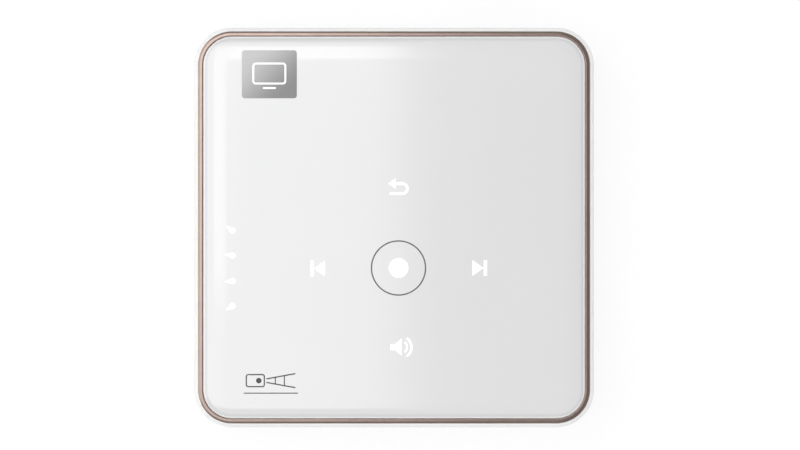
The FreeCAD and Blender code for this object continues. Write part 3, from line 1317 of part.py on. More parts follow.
def make_speaker():
    """The speaker that faces the grille: frame, dished cone, magnet and foam gasket."""
    at = ("speaker_y", "speaker_z")
    rear = "speaker_face - speaker_depth"
    outer = rounded("speaker_length", "speaker_height", "2")
    opening = slot("speaker_length - 2 * speaker_rim", "speaker_height - 2 * speaker_rim")
    frame = new_body("speaker_frame")
    add(frame, "frame_block", "x", outer, rear, "speaker_face", at=at)
    cut(frame, "frame_bowl", "x", opening, f"{rear} + speaker_rim", "speaker_face", at=at)
    magnet = new_body("speaker_magnet")
    add(magnet, "magnet_disc", "x", circle("magnet_diameter"), f"{rear} - magnet_depth", rear, at=at)
    cone = new_body("speaker_cone")
    high = "speaker_face - cone_sunk"
    low = f"{high} - cone_thickness"
    add(cone, "surround", "x", opening, low, high, at=at)
    dish = slot("speaker_length - 5 * speaker_rim", "speaker_height - 5 * speaker_rim")
    add(cone, "dome", "x", dish, high, "speaker_face", at=at)
    gasket = new_body("speaker_gasket")
    ring = both(outer, opening)
    add(gasket, "gasket_ring", "x", ring, "speaker_face", "inside_x", at=at)


# ---------------------------------------------------------------- optical engine


def make_engine_housing():
    """The L-shaped channel that holds the optics, open on top and at its two lamp ends."""
    body = new_body("engine_housing")
    wide = "channel + 2 * engine_wall"
    length = "engine_right - engine_left"
    main_middle = ("(engine_left + engine_right) / 2", "engine_y")
    add(body, "main_block", "z", rectangle(length, wide), "engine_bottom", "engine_top", at=main_middle)
    branch_middle = ("mirror_x", "(engine_y + branch_end) / 2")
    add(body, "branch_block", "z", rectangle(wide, "lamp_reach"), "engine_bottom", "engine_top", at=branch_middle)
    floor = "engine_bottom + engine_wall"
    inner = rectangle(f"{length} - engine_wall + {BEYOND}", "channel")
    inner_middle = (f"(engine_left - {BEYOND} + engine_right - engine_wall) / 2", "engine_y")
    cut(body, "main_channel", "z", inner, floor, "engine_top", at=inner_middle)
    branch = rectangle("channel", f"lamp_reach + {BEYOND}")
    spot = ("mirror_x", f"(engine_y + branch_end + {BEYOND}) / 2")
    cut(body, "branch_channel", "z", branch, floor, "engine_top", at=spot)
    at = ("lens_x", "lens_z")
    cut(body, "lens_hole", "y", circle("rear_bore"), "engine_front - engine_wall", "engine_front", at=at)
    window = rectangle("window_width + 2 * window_gap", "window_height + 2 * window_gap")
    cut(body, "chip_window", "y", window, "engine_back", "engine_back + engine_wall", at=at)
    # each lug has a web that ties it to the channel
    top = "engine_bottom + lug_height"
    webs = (
        ("a", "2 * lug_radius", "engine_back - lug_a_y", "lug_a_x", "(engine_back + lug_a_y) / 2"),
        ("b", "lug_b_x - engine_right", "2 * lug_radius", "(lug_b_x + engine_right) / 2", "lug_b_y"),
        ("c", "2 * lug_radius", "lug_c_y - engine_front", "lug_c_x", "(engine_front + lug_c_y) / 2"),
    )
    for name, width, depth, x, y in webs:
        add(body, f"web_{name}", "z", rectangle(width, depth), "engine_bottom", top, at=(x, y))
    for name, x, y in LUGS:
        add(body, f"lug_{name}", "z", circle("2 * lug_radius"), "engine_bottom", top, at=(x, y))
        hole = circle("small_shank + 2 * head_gap")
        cut(body, f"lug_{name}_hole", "z", hole, "engine_bottom", top, at=(x, y))


def make_engine_lid():
    """The flat lid that shuts the channel."""
    body = new_body("engine_lid")
    wide = "channel + 2 * engine_wall"
    low, high = "engine_top", "engine_top + engine_lid_thickness"
    middle = ("(engine_left + engine_right) / 2", "engine_y")
    add(body, "lid_main", "z", rectangle("engine_right - engine_left", wide), low, high, at=middle)
    branch = ("mirror_x", "(engine_y + branch_end) / 2")
    add(body, "lid_branch", "z", rectangle(wide, "lamp_reach"), low, high, at=branch)


def make_engine_screws():
    """The three screws that hold the engine down to the base cover."""
    screw = small_screw("engine_screw")
    flip = FreeCAD.Rotation(FreeCAD.Vector(1, 0, 0), 180)
    screws = []
    for _name, x, y in LUGS:
        one = copy_of(screw, "engine_screw_copy")
        one.Placement = FreeCAD.Placement(FreeCAD.Vector(0, 0, 0), flip)
        height = "engine_bottom + lug_height"
        screws.append(bind(one, Placement__Base__x=x, Placement__Base__y=y, Placement__Base__z=height))
    group("engine_screws", *screws)


def make_lamp(label, facing, x, y):
    """A light source on its board: the die and its dome face along the channel."""
    board = primitive("Part::Box", f"{label}_board", Length="lamp_board", Width="lamp_board")
    bind(board, Height="lamp_board_thickness", Placement__Base__x="-lamp_board / 2")
    bind(board, Placement__Base__y="-lamp_board / 2", Placement__Base__z="-lamp_board_thickness")
    die = primitive("Part::Box", f"{label}_die", Length="die_side", Width="die_side", Height="die_height")
    bind(die, Placement__Base__x="-die_side / 2", Placement__Base__y="-die_side / 2")
    dome = primitive("Part::Sphere", f"{label}_dome", Radius="dome_radius")
    dome.Angle1 = 0
    bind(dome, Placement__Base__z="die_height + dome_height - dome_radius")
    lamp = doc.addObject("Part::MultiFuse", label)
    lamp.Shapes = [board, die, dome]
    doc.recompute()
    return as_part(stand(lamp, facing, x, y, "lens_z"), label)


def make_optics():
    """Everything that stands in the engine's channel between the lamps and the prism."""
    make_lamp("green_lamp", "x", "engine_left", "engine_y")
    make_lamp("red_blue_lamp", "-y", "mirror_x", "branch_end")
    near = "die_height + dome_height + 0.3"
    far = f"{near} + collimator_thickness + collimator_gap"
    element = lens("collimator", "prism_size", "collimator_thickness", "collimator_radius", "3 * collimator_radius")
    glasses = []
    for step in (near, far):
        one = copy_of(element, "collimator_copy")
        glasses.append(stand(one, "x", f"engine_left + {step}", "engine_y", "lens_z"))
        other = copy_of(element, "collimator_copy")
        glasses.append(stand(other, "-y", "mirror_x", f"branch_end - ({step})", "lens_z"))
    group("collimator_lenses", *glasses)

    mirror = primitive("Part::Box", "mirror_plate", Length="mirror_length", Width="mirror_thickness")
    bind(mirror, Height="prism_size", Placement__Base__z="lens_z - prism_size / 2")
    mirror.Placement.Rotation = FreeCAD.Rotation(FreeCAD.Vector(0, 0, 1), 45)
    offset = "(mirror_length - mirror_thickness) / 2 * sqrt(1 / 2)"
    bind(mirror, Placement__Base__x=f"mirror_x - {offset}")
    bind(mirror, Placement__Base__y="engine_y - (mirror_length + mirror_thickness) / 2 * sqrt(1 / 2)")
    as_part(mirror, "splitter_mirror")

    fly_eye = new_body("fly_eye_lens")
    at = ("engine_y", "lens_z")
    plate = rectangle("prism_size", "prism_size")
    add(fly_eye, "plate", "x", plate, "fly_eye_x", "fly_eye_x + fly_eye_thickness", at=at)
    first = ("engine_y - (fly_eye_furrows - 1) / 2 * fly_eye_pitch", "lens_z")
    groove = rectangle("fly_eye_furrow", "prism_size")
    furrow = cut(fly_eye, "furrow", "x", groove, "fly_eye_x", "fly_eye_x + fly_eye_furrow", at=first)
    row_of(fly_eye, "furrows", [furrow], "y", "fly_eye_pitch", "fly_eye_furrows")

    relay = lens("relay", "prism_size", "relay_thickness", "relay_radius", "relay_radius")
    as_part(stand(relay, "x", RELAY_X, "engine_y", "lens_z"), "relay_lens")

    prisms = new_body("prism_pair")
    side, gap = "prism_size / 2", "prism_gap"
    lower = polygon((f"-{side}", f"-{side}"), (f"{side} - {gap}", f"-{side}"), (f"-{side}", f"{side} - {gap}"))
    upper = polygon((f"{side}", f"{side}"), (f"{gap} - {side}", f"{side}"), (f"{side}", f"{gap} - {side}"))
    low, high = "lens_z - prism_size / 2", "lens_z + prism_size / 2"
    add(prisms, "prisms", "z", both(lower, upper), low, high, at=("lens_x", "engine_y"))


RELAY_X = "lens_x - prism_size / 2 - collimator_gap - relay_thickness"


def make_picture_chip():
    """The chip of tiny mirrors behind the prism, its board and the heat sink on the back of the board."""
    at = ("lens_x", "lens_z")
    chip = new_body("mirror_chip")
    back = "engine_back - chip_depth"
    add(chip, "package", "y", rectangle("chip_width", "chip_height"), back, "engine_back", at=at)
    glass = rectangle("window_width", "window_height")
    add(chip, "window", "y", glass, "engine_back", "engine_back + window_depth", at=at)
    board = new_body("chip_board")
    board_back = f"{back} - chip_board_thickness"
    add(board, "chip_sheet", "y", rectangle("chip_board_width", "chip_board_height"), board_back, back, at=at)
    sink = new_body("chip_heat_sink")
    plate = rectangle("sink_width", "chip_board_height")
    add(sink, "plate", "y", plate, f"{board_back} - sink_plate", board_back, at=at)
    first = ("lens_x - sink_width / 2 + sink_fin / 2", "lens_z")
    fin = rectangle("sink_fin", "chip_board_height")
    one = add(sink, "fin", "y", fin, f"{board_back} - sink_depth", f"{board_back} - sink_plate", at=first)
    row_of(sink, "fins", [one], "x", "(sink_width - sink_fin) / (sink_fins - 1)", "sink_fins")


# ---------------------------------------------------------------- projection lens and focus drive


def make_lens_barrel():
    """The fixed barrel: a flange on the engine with an arm for the wheel's axle, and a slotted tube."""
    body = new_body("lens_barrel")
    at = ("lens_x", "lens_z")
    plate = rectangle("flange_width", "flange_height")
    add(body, "flange", "y", plate, "engine_front", "flange_front", at=at)
    arm = rectangle("centre_distance", "2 * wheel_hub")
    spot = ("lens_x + centre_distance / 2", "lens_z")
    add(body, "arm", "y", arm, "engine_front", "flange_front", at=spot)
    axle = ("wheel_x", "lens_z")
    add(body, "arm_end", "y", circle("2 * wheel_hub"), "engine_front", "shoulder_front", at=axle)
    profile = (
        ("0", "engine_front"),
        ("shoulder_radius", "engine_front"),
        ("shoulder_radius", "shoulder_front"),
        ("barrel_outer / 2", "shoulder_front"),
        ("barrel_outer / 2", "barrel_tip"),
        ("0", "barrel_tip"),
    )
    turned(body, "tube", profile, "lens_x", "lens_z")
    cut(body, "rear_seat", "y", circle("rear_bore"), "engine_front", "barrel_tip", at=at)
    cut(body, "main_bore", "y", circle("barrel_bore"), "flange_front", "barrel_tip", at=at)
    cut(body, "axle_bore", "y", circle("axle_diameter"), "engine_front", "shoulder_front", at=axle)
    way = slot("pin_diameter + 2 * focus_travel + 4 * run_gap", "pin_diameter + 2 * run_gap", upright=True)
    cut(body, "pin_slot", "z", way, "lens_z", "lens_z + barrel_outer", at=("lens_x", "pin_y"))
    groove = both(circle("barrel_outer + 1"), circle("barrel_outer - 2 * clip_groove"))
    low = "drive_front + run_gap"
    cut(body, "clip_seat", "y", groove, low, f"{low} + clip_thickness", at=at)


def make_ring_clip():
    """The open clip that keeps the focus ring on the barrel."""
    body = new_body("ring_clip")
    at = ("lens_x", "lens_z")
    low = "drive_front + run_gap"
    ring = both(circle("barrel_outer + 2 * clip_reach"), circle("barrel_outer - 2 * clip_groove"))
    add(body, "clip", "y", ring, low, f"{low} + clip_thickness", at=at)
    gap = rectangle("barrel_outer / 2", "barrel_outer")
    spot = ("lens_x", "lens_z - barrel_outer / 2 - 1")
    cut(body, "clip_opening", "y", gap, low, f"{low} + clip_thickness", at=spot)


def make_focus_ring():
    """The ring that turns on the barrel: gear teeth outside, a helical cam groove in its bore."""
    body = new_body("focus_ring")
    at = ("lens_x", "lens_z")
    add(body, "sleeve", "y", circle("ring_outer"), "drive_back", "drive_front", at=at)
    add_gear(body, "ring_gear", "ring_teeth", "lens_x", "drive_back")
    bore = "barrel_outer + 2 * run_gap"
    cut(body, "ring_bore", "y", circle(bore), "drive_back", "drive_front", at=at)
    rise = "cam_pitch * cam_angle / 360"
    inner, outer = f"({bore}) / 2 - cam_depth", f"({bore}) / 2 + cam_depth"
    sketch = new_sketch(body, "cam_profile", "z", ("lens_x", f"pin_y - ({rise}) / 2"), "lens_z")
    half = "cam_width / 2"
    polygon((inner, f"-{half}"), (outer, f"-{half}"), (outer, half), (inner, half))(sketch)
    turn_about_lens(sketch, "90 + cam_angle / 2", f"pin_y - ({rise}) / 2")
    doc.recompute()
    groove = body.newObject("PartDesign::SubtractiveHelix", "cam_groove")
    groove.Profile = sketch
    groove.ReferenceAxis = (sketch, ["V_Axis"])
    groove.Mode = "pitch-height-angle"
    bind(groove, Pitch="cam_pitch", Height=rise)
    doc.recompute()
    return groove


def turn_about_lens(sketch, angle, y):
    """Stands a sketch on the lens axis, its own Y along the axis, turned about it from level towards +Z."""
    spin = FreeCAD.Rotation(FreeCAD.Vector(0, 1, 0), 90)
    sketch.AttachmentOffset = FreeCAD.Placement(FreeCAD.Vector(0, 0, 0), spin)
    bind(sketch, AttachmentOffset__Base__x="lens_x", AttachmentOffset__Base__y=y, AttachmentOffset__Base__z="lens_z")
    bind(sketch, AttachmentOffset__Rotation__Angle=f"360 - ({angle})")


def make_lens_cell():
    """The sliding cell with its two lenses, and the pin that the cam groove moves."""
    body = new_body("lens_cell")
    inner = "cell_radius - cell_wall"
    profile = (
        (inner, "cell_back"),
        ("cell_radius", "cell_back"),
        ("cell_radius", "cell_front"),
        (f"{inner} - cell_lip", "cell_front"),
        (f"{inner} - cell_lip", "cell_front - cell_lip"),
        (inner, "cell_front - cell_lip"),
    )
    turned(body, "cell", profile, "lens_x", "lens_z")
    hole = circle("pin_diameter")
    cut(body, "pin_hole", "z", hole, "lens_z", "lens_z + barrel_outer", at=("lens_x", "pin_y"))
    width = "barrel_bore - 2 * cell_gap - 2 * cell_wall"
    front = lens("front_element", width, "front_lens", "front_lens_radius", "2 * front_lens_radius")
    stand(front, "y", "lens_x", "cell_front - cell_lip - front_lens", "lens_z")
    second = lens("inner_element", width, "inner_lens", "inner_lens_radius", "inner_lens_radius")
    stand(second, "y", "lens_x", "pin_y + pin_diameter / 2 + inner_lens_gap", "lens_z")
    group("cell_lenses", front, second)
    pin = primitive("Part::Cylinder", "pin_stock", Radius="pin_diameter / 2")
    bind(pin, Height="barrel_outer / 2 + cam_depth - cell_radius + cell_wall")
    bind(pin, Placement__Base__x="lens_x", Placement__Base__y="pin_y")
    bind(pin, Placement__Base__z="lens_z + cell_radius - cell_wall")
    as_part(pin, "cam_pin")
    rear = lens("rear_element", "rear_bore", "rear_lens", "rear_lens_radius", "rear_lens_radius")
    back = "flange_front - rear_lens + rear_lens_proud"
    as_part(stand(rear, "y", "lens_x", back, "lens_z"), "rear_lens")


def make_focus_wheel():
    """The ribbed thumb wheel with its gear, and the axle that it turns on."""
    body = new_body("focus_wheel")
    at = ("wheel_x", "lens_z")
    add(body, "hub", "y", circle("2 * wheel_hub"), "drive_back", "rim_back", at=at)
    add_gear(body, "wheel_gear", "wheel_teeth", "wheel_x", "drive_back", turn="180 / wheel_teeth")
    rim = add(body, "rim", "y", circle("2 * wheel_radius"), "rim_back", "rim_front", at=at)
    rib = rectangle("wheel_rib_depth * 2", "wheel_rib_depth * 1.6")
    notch = cut(body, "grip_notch", "y", rib, "rim_back", "rim_front", at=("wheel_x + wheel_radius", "lens_z"))
    ring_of(body, "grip", [notch], (rim.Profile[0], ["N_Axis"]), "wheel_ribs")
    hole = circle("axle_diameter + 2 * axle_gap")
    cut(body, "wheel_bore", "y", hole, "drive_back", "rim_front", at=at)
    axle = new_body("wheel_axle")
    end = "rim_front + run_gap + axle_grip"
    add(axle, "axle", "y", circle("axle_diameter"), "engine_front", end, at=at)


def make_lens_bezel():
    """The black bezel with a cone that opens round the lens."""
    body = new_body("lens_bezel")
    at = ("lens_x", "lens_z")
    plate = rounded("bezel_width - 2 * fit_gap", "bezel_height - 2 * fit_gap", "bezel_corner - fit_gap")
    add(body, "bezel_plate", "y", plate, "bezel_back", "case_depth / 2", at=at)
    profile = (
        ("0", "bezel_back"),
        ("bezel_throat / 2", "bezel_back"),
        ("bezel_mouth / 2", "case_depth / 2"),
        ("0", "case_depth / 2"),
    )
    turned(body, "cone", profile, "lens_x", "lens_z", kind="PartDesign::Groove")


# ---------------------------------------------------------------- cooling


def make_fan():
    """The blower: a case open towards the fins, a cover with the inlet, and the bladed rotor."""
    at = ("fan_x", "fan_y")
    case = new_body("fan_case")
    cover_bottom = "fan_top - fan_wall"
    square = rounded("fan_size", "fan_size", "fan_corner")
    floor = "fan_bottom + fan_wall"
    add(case, "fan_block", "z", square, "fan_bottom", cover_bottom, at=at)
    bowl = "rotor_diameter + 2 * rotor_gap"
    cut(case, "bowl", "z", circle(bowl), floor, cover_bottom, at=at)
    mouth = rectangle("fan_size / 2", bowl)
    cut(case, "mouth", "z", mouth, floor, cover_bottom, at=("fan_x - fan_size / 4", "fan_y"))
    add(case, "bearing", "z", circle("bearing_diameter"), floor, f"{floor} + bearing_height", at=at)
    bore = circle("shaft_diameter + 2 * axle_gap")
    cut(case, "bearing_bore", "z", bore, f"{floor} - fan_wall / 2", f"{floor} + bearing_height", at=at)
    cover = new_body("fan_cover")
    plate = both(square, circle("inlet_diameter"))
    add(cover, "cover_plate", "z", plate, cover_bottom, "fan_top", at=at)

    rotor = new_body("fan_rotor")
    low, high = f"{floor} + rotor_air", f"{cover_bottom} - rotor_air"
    add(rotor, "hub", "z", circle("hub_diameter"), low, high, at=at)
    cut(rotor, "hub_inside", "z", circle("hub_diameter - 2 * hub_wall"), low, f"{high} - hub_wall", at=at)
    add(rotor, "shaft", "z", circle("shaft_diameter"), f"{floor} - fan_wall / 2 + axle_gap", high, at=at)
    blade_sketch = new_sketch(rotor, "blade_sketch", "z", at, low)
    draw_blade(blade_sketch)
    blade = rotor.newObject("PartDesign::Pad", "blade")
    blade.Profile = blade_sketch
    bind(blade, Length=f"({high}) - ({low})")
    ring_of(rotor, "blades", [blade], (blade_sketch, ["N_Axis"]), "blade_count")


def draw_blade(sketch):
    """A blade from the hub's wall to the rotor's rim: two arcs about one centre, joined at both ends."""
    root, tip = number("hub_diameter / 2 - hub_wall / 2"), number("rotor_diameter / 2")
    curve, half = number("blade_radius"), number("blade_thickness / 2")
    # the arc's centre is as far from the root point as from the tip point, which is turned half a step on
    start = FreeCAD.Vector(root, 0, 0)
    end = FreeCAD.Vector(tip * math.cos(BLADE_SWEEP), tip * math.sin(BLADE_SWEEP), 0)
    middle = (start + end) / 2
    across = FreeCAD.Vector(start.y - end.y, end.x - start.x, 0).normalize()
    centre = middle + across * math.sqrt(max(curve**2 - (end - start).Length ** 2 / 4, 0.01))
    first, last = (math.atan2(p.y - centre.y, p.x - centre.x) for p in (start, end))
    faces = []
    for radius in (curve - half, curve + half):
        ring = Part.Circle(centre, FreeCAD.Vector(0, 0, 1), radius)
        faces.append(Part.ArcOfCircle(ring, first, last))
    sketch.addGeometry(faces)
    sketch.addGeometry(Part.LineSegment(faces[0].StartPoint, faces[1].StartPoint))
    sketch.addGeometry(Part.LineSegment(faces[0].EndPoint, faces[1].EndPoint))
    relate(sketch, ("Coincident", 0, 1, 2, 1), ("Coincident", 1, 1, 2, 2))
    relate(sketch, ("Coincident", 0, 2, 3, 1), ("Coincident", 1, 2, 3, 2))
    for i in range(4):
        relate(sketch, ("Block", i))


BLADE_SWEEP = math.radians(28)


def make_fin_stack():
    """The fins in front of the outlet slots, with the hole that the heat pipe goes through."""
    body = new_body("fin_stack")
    length = "(fin_count - 1) * fin_pitch + fin_thickness"
    middle = ("fin_x", f"fin_first_y + ({length}) / 2")
    plate = rectangle("fin_depth", length)
    add(body, "lower_plate", "z", plate, "fan_bottom", "fan_bottom + fin_plate", at=middle)
    add(body, "upper_plate", "z", plate, "fin_top - fin_plate", "fin_top", at=middle)
    fin = rectangle("fin_depth", "fin_top - fan_bottom")
    at = ("fin_x", "(fin_top + fan_bottom) / 2")
    one = add(body, "fin", "y", fin, "fin_first_y", "fin_first_y + fin_thickness", at=at)
    row_of(body, "fins", [one], "y", "fin_pitch", "fin_count")
    low, high = "fin_first_y", f"fin_first_y + {length}"
    cut(body, "pipe_hole", "y", circle("pipe_diameter"), low, high, at=("fin_x", "pipe_z"))


def make_heat_pipe():
    """The round heat pipe from the spreader, round the fan and through the fins, with two equal bends."""
    body = new_body("heat_pipe")
    path = new_sketch(body, "pipe_path", "z", ("0", "0"), "pipe_z")
    front = "pipe_front_y"
    corners = (("pipe_x", "pipe_back_y"), ("pipe_x", front), ("fin_x", front), ("fin_x", "fin_first_y"))
    bent_path(path, corners, "pipe_bend")
    section = new_sketch(body, "pipe_section", "y", ("pipe_x", "pipe_z"), "pipe_back_y")
    circle("pipe_diameter")(section)
    swept(body, "pipe", path, section)


def make_heat_spreader():
    """The bent copper plate that both lamp boards are screwed to."""
    body = new_body("heat_spreader")
    low, high = "lens_z - spreader_height / 2", "lens_z + spreader_height / 2"
    outer_x = "engine_left - lamp_board_thickness - spreader_thickness"
    outer_y = "branch_end + lamp_board_thickness + spreader_thickness"
    right = "mirror_x + lamp_board / 2"
    back = "engine_y - lamp_board / 2"
    inner_x, inner_y = f"{outer_x} + spreader_thickness", f"{outer_y} - spreader_thickness"
    shape = polygon(
        (outer_x, back), (inner_x, back), (inner_x, inner_y), (right, inner_y), (right, outer_y), (outer_x, outer_y)
    )
    add(body, "bent_plate", "z", shape, low, high)


# ---------------------------------------------------------------- writing the parts


def check_document():
    """Stops the build if an object failed, or a sub-part's shape is empty or invalid."""
    doc.recompute()
    for thing in doc.Objects:
        if any(word in thing.State for word in ("Invalid", "Error")):
            raise RuntimeError(f"{thing.Name} ({thing.Label}) failed: {thing.State}")
    for thing in PARTS:
        if thing.Shape.isNull() or not thing.Shape.isValid() or not thing.Shape.Solids:
            raise RuntimeError(f"{thing.Label} has no valid solid")


def write_parts():
    """Writes each sub-part as parts/LABEL.step."""
    os.makedirs("parts", exist_ok=True)
    for thing in PARTS:
        thing.Shape.exportStep(f"parts/{thing.Label}.step")


sheet = make_sheet()
make_touch_panel()
make_trim_ring()
make_touch_stack()
make_housing()
make_base_cover()
make_rubber_feet()
make_case_screws()
make_tripod_nut()
make_battery()
make_main_board()
make_components()
make_video_socket()
make_usb_socket()
make_charge_socket()
make_audio_jack()
make_power_switch()
make_speaker()
make_engine_housing()
make_engine_lid()
make_engine_screws()
make_optics()
make_picture_chip()
make_lens_barrel()
make_ring_clip()
make_focus_ring()
make_lens_cell()
make_focus_wheel()
make_lens_bezel()
make_fan()
make_fin_stack()
make_heat_pipe()
make_heat_spreader()
check_document()
write_parts()
print(f"wrote {len(PARTS)} sub-parts")
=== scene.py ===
"""Looks of a pocket projector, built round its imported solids.

Everything is in metres in the row frame: Z is up, the origin lies under the middle of the case, and +Y is the way
the lens looks. Sizes below are in millimetres and are turned into metres where a mesh is made. Each sub-assembly
is a class with its sizes as dataclass fields, each finish is a frozen dataclass that makes one node material, and
new pieces are surfaces worked out with numpy on grids of points.
"""

import json
import logging
import math
from dataclasses import dataclass, replace
from enum import Enum
from typing import Any, Mapping, Sequence

import bmesh
import bpy
import numpy as np
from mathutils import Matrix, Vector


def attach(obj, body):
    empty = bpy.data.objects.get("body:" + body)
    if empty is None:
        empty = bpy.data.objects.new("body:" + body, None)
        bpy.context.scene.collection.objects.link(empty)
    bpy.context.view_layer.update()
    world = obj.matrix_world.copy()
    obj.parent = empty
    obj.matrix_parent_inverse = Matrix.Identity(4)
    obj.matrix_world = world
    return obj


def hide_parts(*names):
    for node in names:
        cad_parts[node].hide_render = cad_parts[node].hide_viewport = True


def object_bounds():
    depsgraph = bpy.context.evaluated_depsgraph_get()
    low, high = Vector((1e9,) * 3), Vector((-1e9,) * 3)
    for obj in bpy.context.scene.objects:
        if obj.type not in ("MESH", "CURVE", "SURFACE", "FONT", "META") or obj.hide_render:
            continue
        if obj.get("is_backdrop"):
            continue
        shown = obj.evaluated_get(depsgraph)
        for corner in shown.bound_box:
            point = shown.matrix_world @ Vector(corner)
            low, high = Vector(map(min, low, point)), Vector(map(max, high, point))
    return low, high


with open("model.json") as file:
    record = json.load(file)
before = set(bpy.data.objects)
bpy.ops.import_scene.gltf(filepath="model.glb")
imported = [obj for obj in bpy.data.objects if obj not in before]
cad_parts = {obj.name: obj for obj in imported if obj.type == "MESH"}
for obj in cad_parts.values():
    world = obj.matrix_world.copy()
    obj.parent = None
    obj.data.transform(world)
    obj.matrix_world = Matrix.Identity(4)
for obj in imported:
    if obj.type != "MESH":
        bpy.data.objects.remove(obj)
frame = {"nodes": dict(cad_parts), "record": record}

MM = 0.001
WELD = 1e-7
LOG = logging.getLogger("pocket_projector")
Colour = tuple[float, float, float]
Point = tuple[float, float, float]
Place = tuple[float, float]
WHITE: Colour = (1.0, 1.0, 1.0)
BADGE_MIDDLE: Place = (-24.8, 30.6)


# ---------------------------------------------------------------- shader expressions


class Signal:
    """A value that varies over a surface: one output socket, to which Python's operators add Math nodes."""

    def __init__(self, recipe: "Recipe", socket: bpy.types.NodeSocket | None) -> None:
        """Keeps the socket and the recipe whose tree holds it. An output node has no socket to keep."""
        self.recipe = recipe
        self.socket = socket

    def __add__(self, other: "Signal | float") -> "Signal":
        """The sum."""
        return self.recipe.math("ADD", self, other)

    def __sub__(self, other: "Signal | float") -> "Signal":
        """The difference."""
        return self.recipe.math("SUBTRACT", self, other)

    def __rsub__(self, other: float) -> "Signal":
        """A number less this value."""
        return self.recipe.math("SUBTRACT", other, self)

    def __mul__(self, other: "Signal | float") -> "Signal":
        """The product."""
        return self.recipe.math("MULTIPLY", self, other)

    def __truediv__(self, other: "Signal | float") -> "Signal":
        """The quotient."""
        return self.recipe.math("DIVIDE", self, other)

    def __rtruediv__(self, other: float) -> "Signal":
        """A number divided by this value."""
        return self.recipe.math("DIVIDE", other, self)

    __radd__ = __add__
    __rmul__ = __mul__

    def size(self) -> "Signal":
        """The value without its sign."""
        return self.recipe.math("ABSOLUTE", self)

    def at_least(self, other: "Signal | float") -> "Signal":
        """The larger of the two."""
        return self.recipe.math("MAXIMUM", self, other)

    def above(self, low: float, high: float) -> "Signal":
        """A smooth step; with low above high it runs the other way.

        Args:
            low: where the step is still 0.
            high: where it has reached 1.

        Returns:
            The step.
        """
        settings = {"interpolation_type": "SMOOTHSTEP"}
        inputs = {0: self, 1: low, 2: high, 3: 0.0, 4: 1.0}
        if low > high:
            inputs = {0: self, 1: high, 2: low, 3: 1.0, 4: 0.0}
        return self.recipe.node("ShaderNodeMapRange", settings, inputs)

    def repeat(self, pitch: float) -> "Signal":
        """A triangle wave of that pitch, 0 at whole steps and 0.5 halfway between them."""
        return self.recipe.math("PINGPONG", self / pitch, 0.5)


class Recipe:
    """The node tree of one material or of the world. Every node comes from its node method."""

    def __init__(self, tree: bpy.types.NodeTree) -> None:
        """Starts from an empty tree.

        Args:
            tree: the node tree, whose nodes are cleared.
        """
        tree.nodes.clear()
        self.tree = tree
        self._object_point: Signal | None = None

    def node(
        self,
        kind: str,
        settings: Mapping[str, Any] | None = None,
        inputs: Mapping[int | str, Any] | None = None,
        out: int | str = 0,
    ) -> Signal:
        """Adds a node.

        Args:
            kind: the node's type name.
            settings: its properties, set before its sockets.
            inputs: values or signals for its sockets, by number or name.
            out: the output that the signal stands for.

        Returns:
            The signal of that output.
        """
        made = self.tree.nodes.new(kind)
        for name, value in (settings or {}).items():
            setattr(made, name, value)
        for key, value in (inputs or {}).items():
            self.feed(made.inputs[key], value)
        return Signal(self, made.outputs[out] if made.outputs else None)

    def feed(self, socket: bpy.types.NodeSocket, value: Any) -> None:
        """Links a signal to the socket, or sets its value; a colour of three numbers gets its fourth.

        Args:
            socket: the input socket.
            value: a signal, a number, a vector or a colour.
        """
        if isinstance(value, Signal):
            self.tree.links.new(value.socket, socket)
        elif socket.type == "RGBA" and len(value) == 3:
            socket.default_value = (*value, 1.0)
        else:
            socket.default_value = value

    def math(self, operation: str, *values: Signal | float) -> Signal:
        """A Math node of that operation on the values."""
        return self.node("ShaderNodeMath", {"operation": operation}, dict(enumerate(values)))

    def mix(self, first: Any, second: Any, share: Signal | float) -> Signal:
        """The colour between first and second, by the share of the second."""
        settings = {"data_type": "RGBA", "clamp_factor": True}
        return self.node("ShaderNodeMix", settings, {0: share, 6: first, 7: second}, out=2)

    def point(self) -> Signal:
        """The place on the object, from one node that the whole tree shares.

        Returns:
            The place, in metres.
        """
        if self._object_point is None:
            self._object_point = self.node("ShaderNodeTexCoord", out="Object")
        return self._object_point

    def axis(self, name: str) -> Signal:
        """One coordinate of the place on the object, in millimetres."""
        return self.node("ShaderNodeSeparateXYZ", inputs={0: self.point()}, out=name) * (1 / MM)

    def noise(self, size: float, detail: float = 3.0, stretch: Point = (1.0, 1.0, 1.0)) -> Signal:
        """Soft noise, 0 to 1, in patches about size millimetres wide, or size over the stretch along an axis."""
        place = self.node("ShaderNodeMapping", inputs={"Vector": self.point(), "Scale": stretch})
        inputs = {"Vector": place, "Scale": 1 / (size * MM), "Detail": detail}
        return self.node("ShaderNodeTexNoise", {"noise_dimensions": "3D"}, inputs)

    def cells(self, size: float, out: str = "Distance") -> Signal:
        """Cells about that many millimetres wide: the distance to each cell's middle, or its own colour."""
        inputs = {"Vector": self.point(), "Scale": 1 / (size * MM)}
        return self.node("ShaderNodeTexVoronoi", inputs=inputs, out=out)

    def ray(self, kind: str) -> Signal:
        """1 for rays of that kind, such as "Camera" or "Glossy", and 0 for the others."""
        return self.node("ShaderNodeLightPath", out=f"Is {kind} Ray")

    def in_box(self, middle: Sequence[float], half: Sequence[float], soft: float = 0.03) -> Signal:
        """1 inside a box, 0 outside.

        Args:
            middle: the box's middle, in millimetres.
            half: its half sizes.
            soft: half the width of its blurred sides.

        Returns:
            The share.
        """
        share: Signal | None = None
        for name, centre, reach in zip("XYZ", middle, half):
            side = (self.axis(name) - centre).size().above(reach + soft, reach - soft)
            share = side if share is None else share * side
        return share


